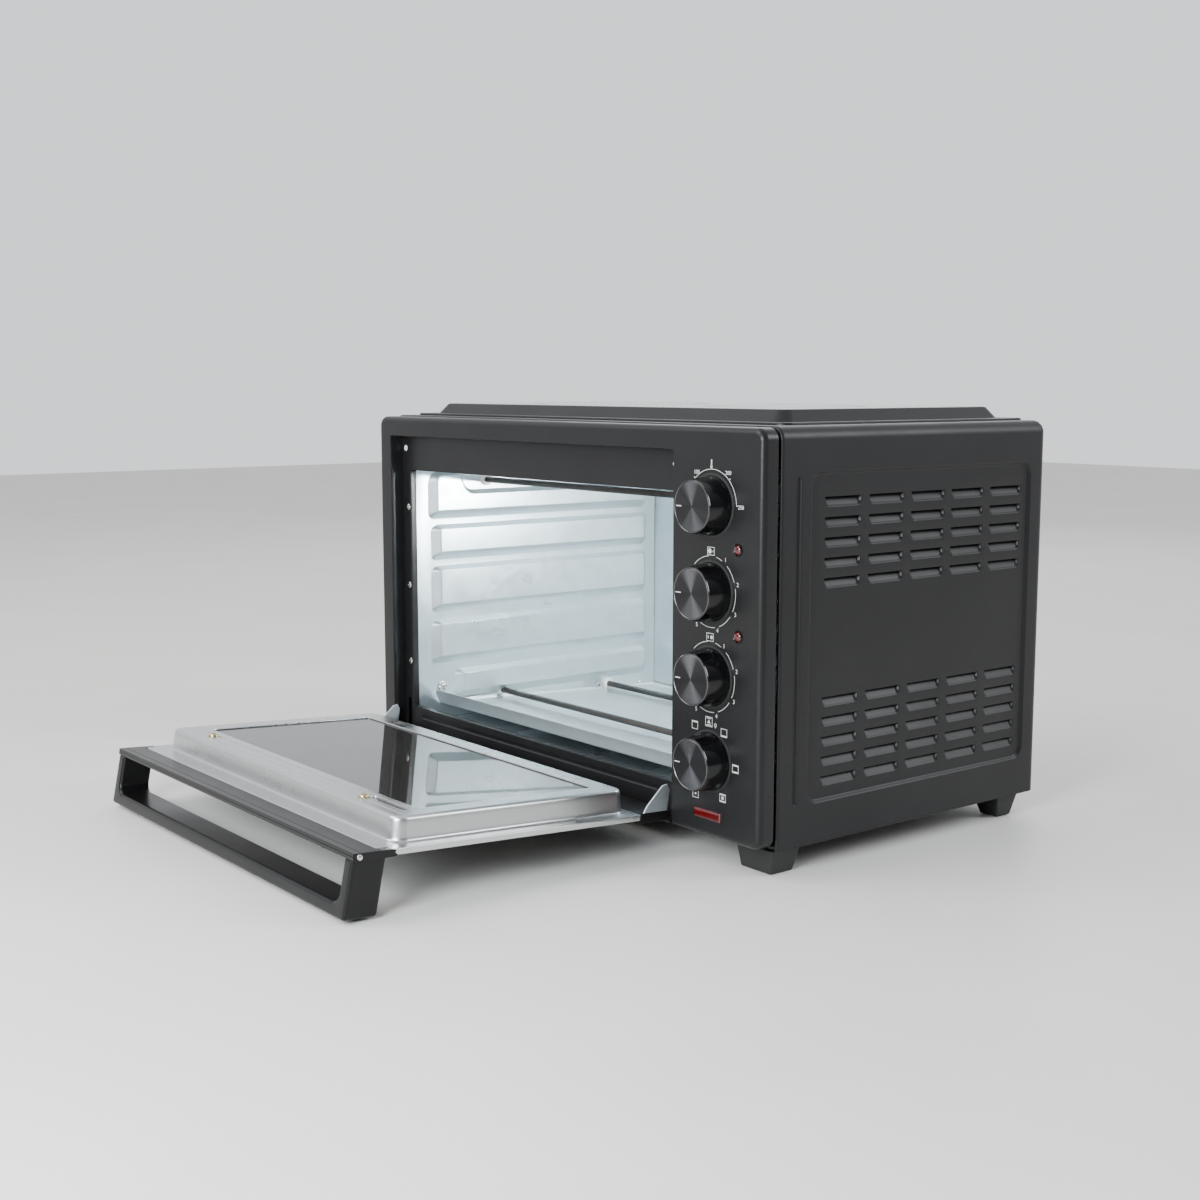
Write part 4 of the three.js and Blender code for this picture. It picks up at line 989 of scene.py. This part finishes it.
# along the depth: lip (t from 1 at its top to 0 at the bend), then the floor, then the rear turn-up
dirp, dirq = -11.0 / 19.83, 16.5 / 19.83
rows = []
for t in (1.0, 0.985, 0.8, 0.6, 0.4, 0.2):
    rows.append(("lip", t))
for k in range(1, 6):
    rows.append(("bend", k / 5.0))
for p in (6, 8, 10, 13, 18, 30, 60, 100, 140, 180, 220, 260, 285, 294):
    rows.append(("floor", float(p)))
for k in range(1, 6):
    rows.append(("rear", k / 5.0))
rows.append(("end", 3.0))
B0 = 3.2  # run of the front bend
grid = []
for kind, t in rows:
    line = []
    for x, lift in cols:
        hl = smooth((x - (X0 - 0.5)) / 7.0) if x < 0 else 1.0 - smooth((x - (X1 - 29)) / 28.0)
        L = 19.3 * hl
        foot_p, foot_q = dirp * B0, dirq * B0
        if kind == "lip":
            d = max(B0, B0 + (L - B0) * t) if L > B0 else B0 * (0.0 + 1.0)
            scale = 1.0 if L > B0 else L / B0
            p, q = dirp * d * scale, dirq * d * scale
        elif kind == "bend":
            scale = 1.0 if L > B0 else L / B0
            a, b_, c = Vector((foot_p, foot_q)) * scale, Vector((0, 0)), Vector((B0, 0))
            w = (1 - t) ** 2 * a + 2 * t * (1 - t) * b_ + t * t * c
            p, q = w
        elif kind == "floor":
            p, q = t, 0.0
        elif kind == "rear":
            a, b_, c = Vector((TL - 2.4, 0)), Vector((TL - 0.5, 0)), Vector((TL - 0.5, 1.9))
            w = (1 - t) ** 2 * a + 2 * t * (1 - t) * b_ + t * t * c
            p, q = w
        else:
            p, q = TL - 0.5, 3.0
        if kind in ("floor", "rear", "end"):
            q += lift * smooth((p - 5) / 7.0) * (1 if kind != "end" else 0.0)
        if kind == "floor" and lift == 0.0:
            q += 0.22 * math.sin(x * 0.021 + 1.0) * math.sin(p * 0.017 + 0.6) + 0.12 * math.sin(x * 0.05 + p * 0.011)
        line.append(bm.verts.new(TR(x, p, q + 0.8)))
    grid.append(line)
for i in range(len(grid) - 1):
    for j in range(len(cols) - 1):
        bm.faces.new([grid[i][j], grid[i][j + 1], grid[i + 1][j + 1], grid[i + 1][j]])
bmesh.ops.remove_doubles(bm, verts=bm.verts, dist=1e-7)
finish_piece("look_crumb_tray", mesh_from(bm, "look_crumb_tray"), "tray", TRAY, ("crumb_tray",), solid=0.0007, sharp=60)

# ------------------------------------------------------------------ hob
refine("hob_platform", "steel_black", 0.0012, 4)
refine("hob_glass", "hob_glass", 0.0006, 3)
slab_piece("hob_ledge", lambda a, b, h: V(a, b, 366.0 + h), rect(-277, 277, 36, 345), 12, [(0, 0.1), (0, 1.3), (0.3, 1.8), (0.9, 2.1), (2.0, 2.2)], "steel_black", ROOT, n=8)
top_place = lambda a, b, h: V(a, b, 378.3 + h)
ring_marks = []
for cx, r in ((-118, 92), (120, 76)):
    ring_marks.append((circle(cx, 190, r, 96), [circle(cx, 190, r - 0.9, 96)]))
    ring_marks.append((circle(cx, 190, r - 3.2, 96), [circle(cx, 190, r - 3.7, 96)]))
panel_print("hob_zone_rings", ring_marks, "hob_print", -0.01, -0.05, place=lambda a, b, h: V(a, b, 378.3 + h))

# ------------------------------------------------------------------ feet and the rest
for f in ("foot_front_left", "foot_front_right", "foot_rear_left", "foot_rear_right"):
    refine(f, "rubber", 0.0014, 4)
pl = at(V(222, 0, 62), X, Z, Y)
lathe_piece("look_cord_bushing", [(4.2, 351), (7.6, 351), (7.6, 359.5), (11.4, 359.5), (12, 360.2), (12, 361.8), (11.4, 362.6), (9.2, 363.4), (8.6, 366.8), (8.0, 367.9), (4.8, 367.9), (4.2, 367.3)], pl, "rubber", ROOT, ("cord_bushing",), seg=48, closed_profile=True)

CARRY = {
    "hinge_pin_left": "screw", "hinge_pin_right": "screw",
    "shaft_thermostat": "screw", "shaft_hob_left": "screw", "shaft_hob_right": "screw", "shaft_function": "screw",
    "oven_thermostat": "mica", "hob_switch_left": "mica", "hob_switch_right": "mica", "function_switch": "mica",
    "terminal_block": "ceramic", "hob_heater_left": "ceramic", "hob_heater_right": "ceramic", "lamp_holder": "galv", "oven_lamp": "lamp",
}
for n, m in CARRY.items():
    me = N[n].data
    me.materials.clear()
    me.materials.append(M[m])
for n, ob in N.items():
    if not ob.hide_render and n not in CARRY:
        print("NODE WITHOUT A LOOK:", n)

# ------------------------------------------------------------------ floor, light, camera
bm = bmesh.new()
bmesh.ops.create_grid(bm, x_segments=2, y_segments=2, size=6.0)
for v in bm.verts:
    v.co.z = -0.0004
me = mesh_from(bm, "floor")
floor = bpy.data.objects.new("floor", me)
scene.collection.objects.link(floor)
fm = Mat("pale_floor")
fm.link(fm.mix(fm.range(fm.noise(3.0, 4.0), 0.3, 0.7, 0, 1), (0.70, 0.685, 0.66), (0.74, 0.725, 0.70)), fm.b.inputs["Base Color"])
fm.link(fm.range(fm.noise(8.0, 4.0), 0.3, 0.7, 0.42, 0.55), fm.b.inputs["Roughness"])
me.materials.append(fm.m)

w = bpy.data.worlds.new("studio")
scene.world = w
w.use_nodes = True
wt = w.node_tree
bg = wt.nodes["Background"]
bg.inputs[0].default_value = (0.95, 0.97, 1.0, 1)
wc = wt.nodes.new("ShaderNodeTexCoord")
dot = wt.nodes.new("ShaderNodeVectorMath")
dot.operation = "DOT_PRODUCT"
dot.inputs[1].default_value = (-0.72, 0.56, 0.42)
wt.links.new(wc.outputs["Generated"], dot.inputs[0])
mr = wt.nodes.new("ShaderNodeMapRange")
mr.interpolation_type = "SMOOTHSTEP"
for i, v in enumerate((-0.55, 0.62, 0.20, 1.25)):
    mr.inputs[i + 1].default_value = v
wt.links.new(dot.outputs["Value"], mr.inputs[0])
wt.links.new(mr.outputs[0], bg.inputs[1])


def area(name, pos, target, size, power, color=(1, 1, 1), sy=None):
    li = bpy.data.lights.new(name, "AREA")
    li.shape = "RECTANGLE"
    li.size = size
    li.size_y = sy or size
    li.energy = power
    li.color = color
    ob = bpy.data.objects.new(name, li)
    scene.collection.objects.link(ob)
    ob.location = pos
    d = Vector(target) - Vector(pos)
    ob.rotation_euler = d.to_track_quat("-Z", "Y").to_euler()
    return ob


area("key", (-0.9, -1.9, 2.2), (0, -0.1, 0.15), 1.8, 60, (1.0, 0.985, 0.96))
area("window", (2.1, 1.9, 1.55), (0.25, 0.1, 0.2), 1.1, 46, (0.95, 0.98, 1.0))
area("into_oven", (0.62, -1.30, 0.60), (-0.20, 0.12, 0.17), 0.55, 34, (0.90, 0.96, 1.0))
area("oven_lamp_light", V(171, 305, 271), V(-255, 120, 225), 0.034, 3.7, (0.96, 0.99, 1.0), 0.016)
area("back_fill", (-1.6, 2.0, 1.6), (0, 0.1, 0.2), 1.6, 16)

cam = bpy.data.cameras.new("camera")
cam.sensor_width = 36.0
cam.lens = 48.78
cob = bpy.data.objects.new("camera", cam)
scene.collection.objects.link(cob)
d, r, u = Vector((-0.7795, 0.6123, -0.1323)), Vector((0.6177, 0.7864, 0.0)), Vector((-0.1040, 0.0817, 0.9912))
d.normalize()
r.normalize()
u = r.cross(d).normalized()
c = V(1211.04, -883.77, 399.59)
cob.matrix_world = Matrix(((r.x, u.x, -d.x, c.x), (r.y, u.y, -d.y, c.y), (r.z, u.z, -d.z, c.z), (0, 0, 0, 1)))
cam.clip_start = 0.02
scene.camera = cob
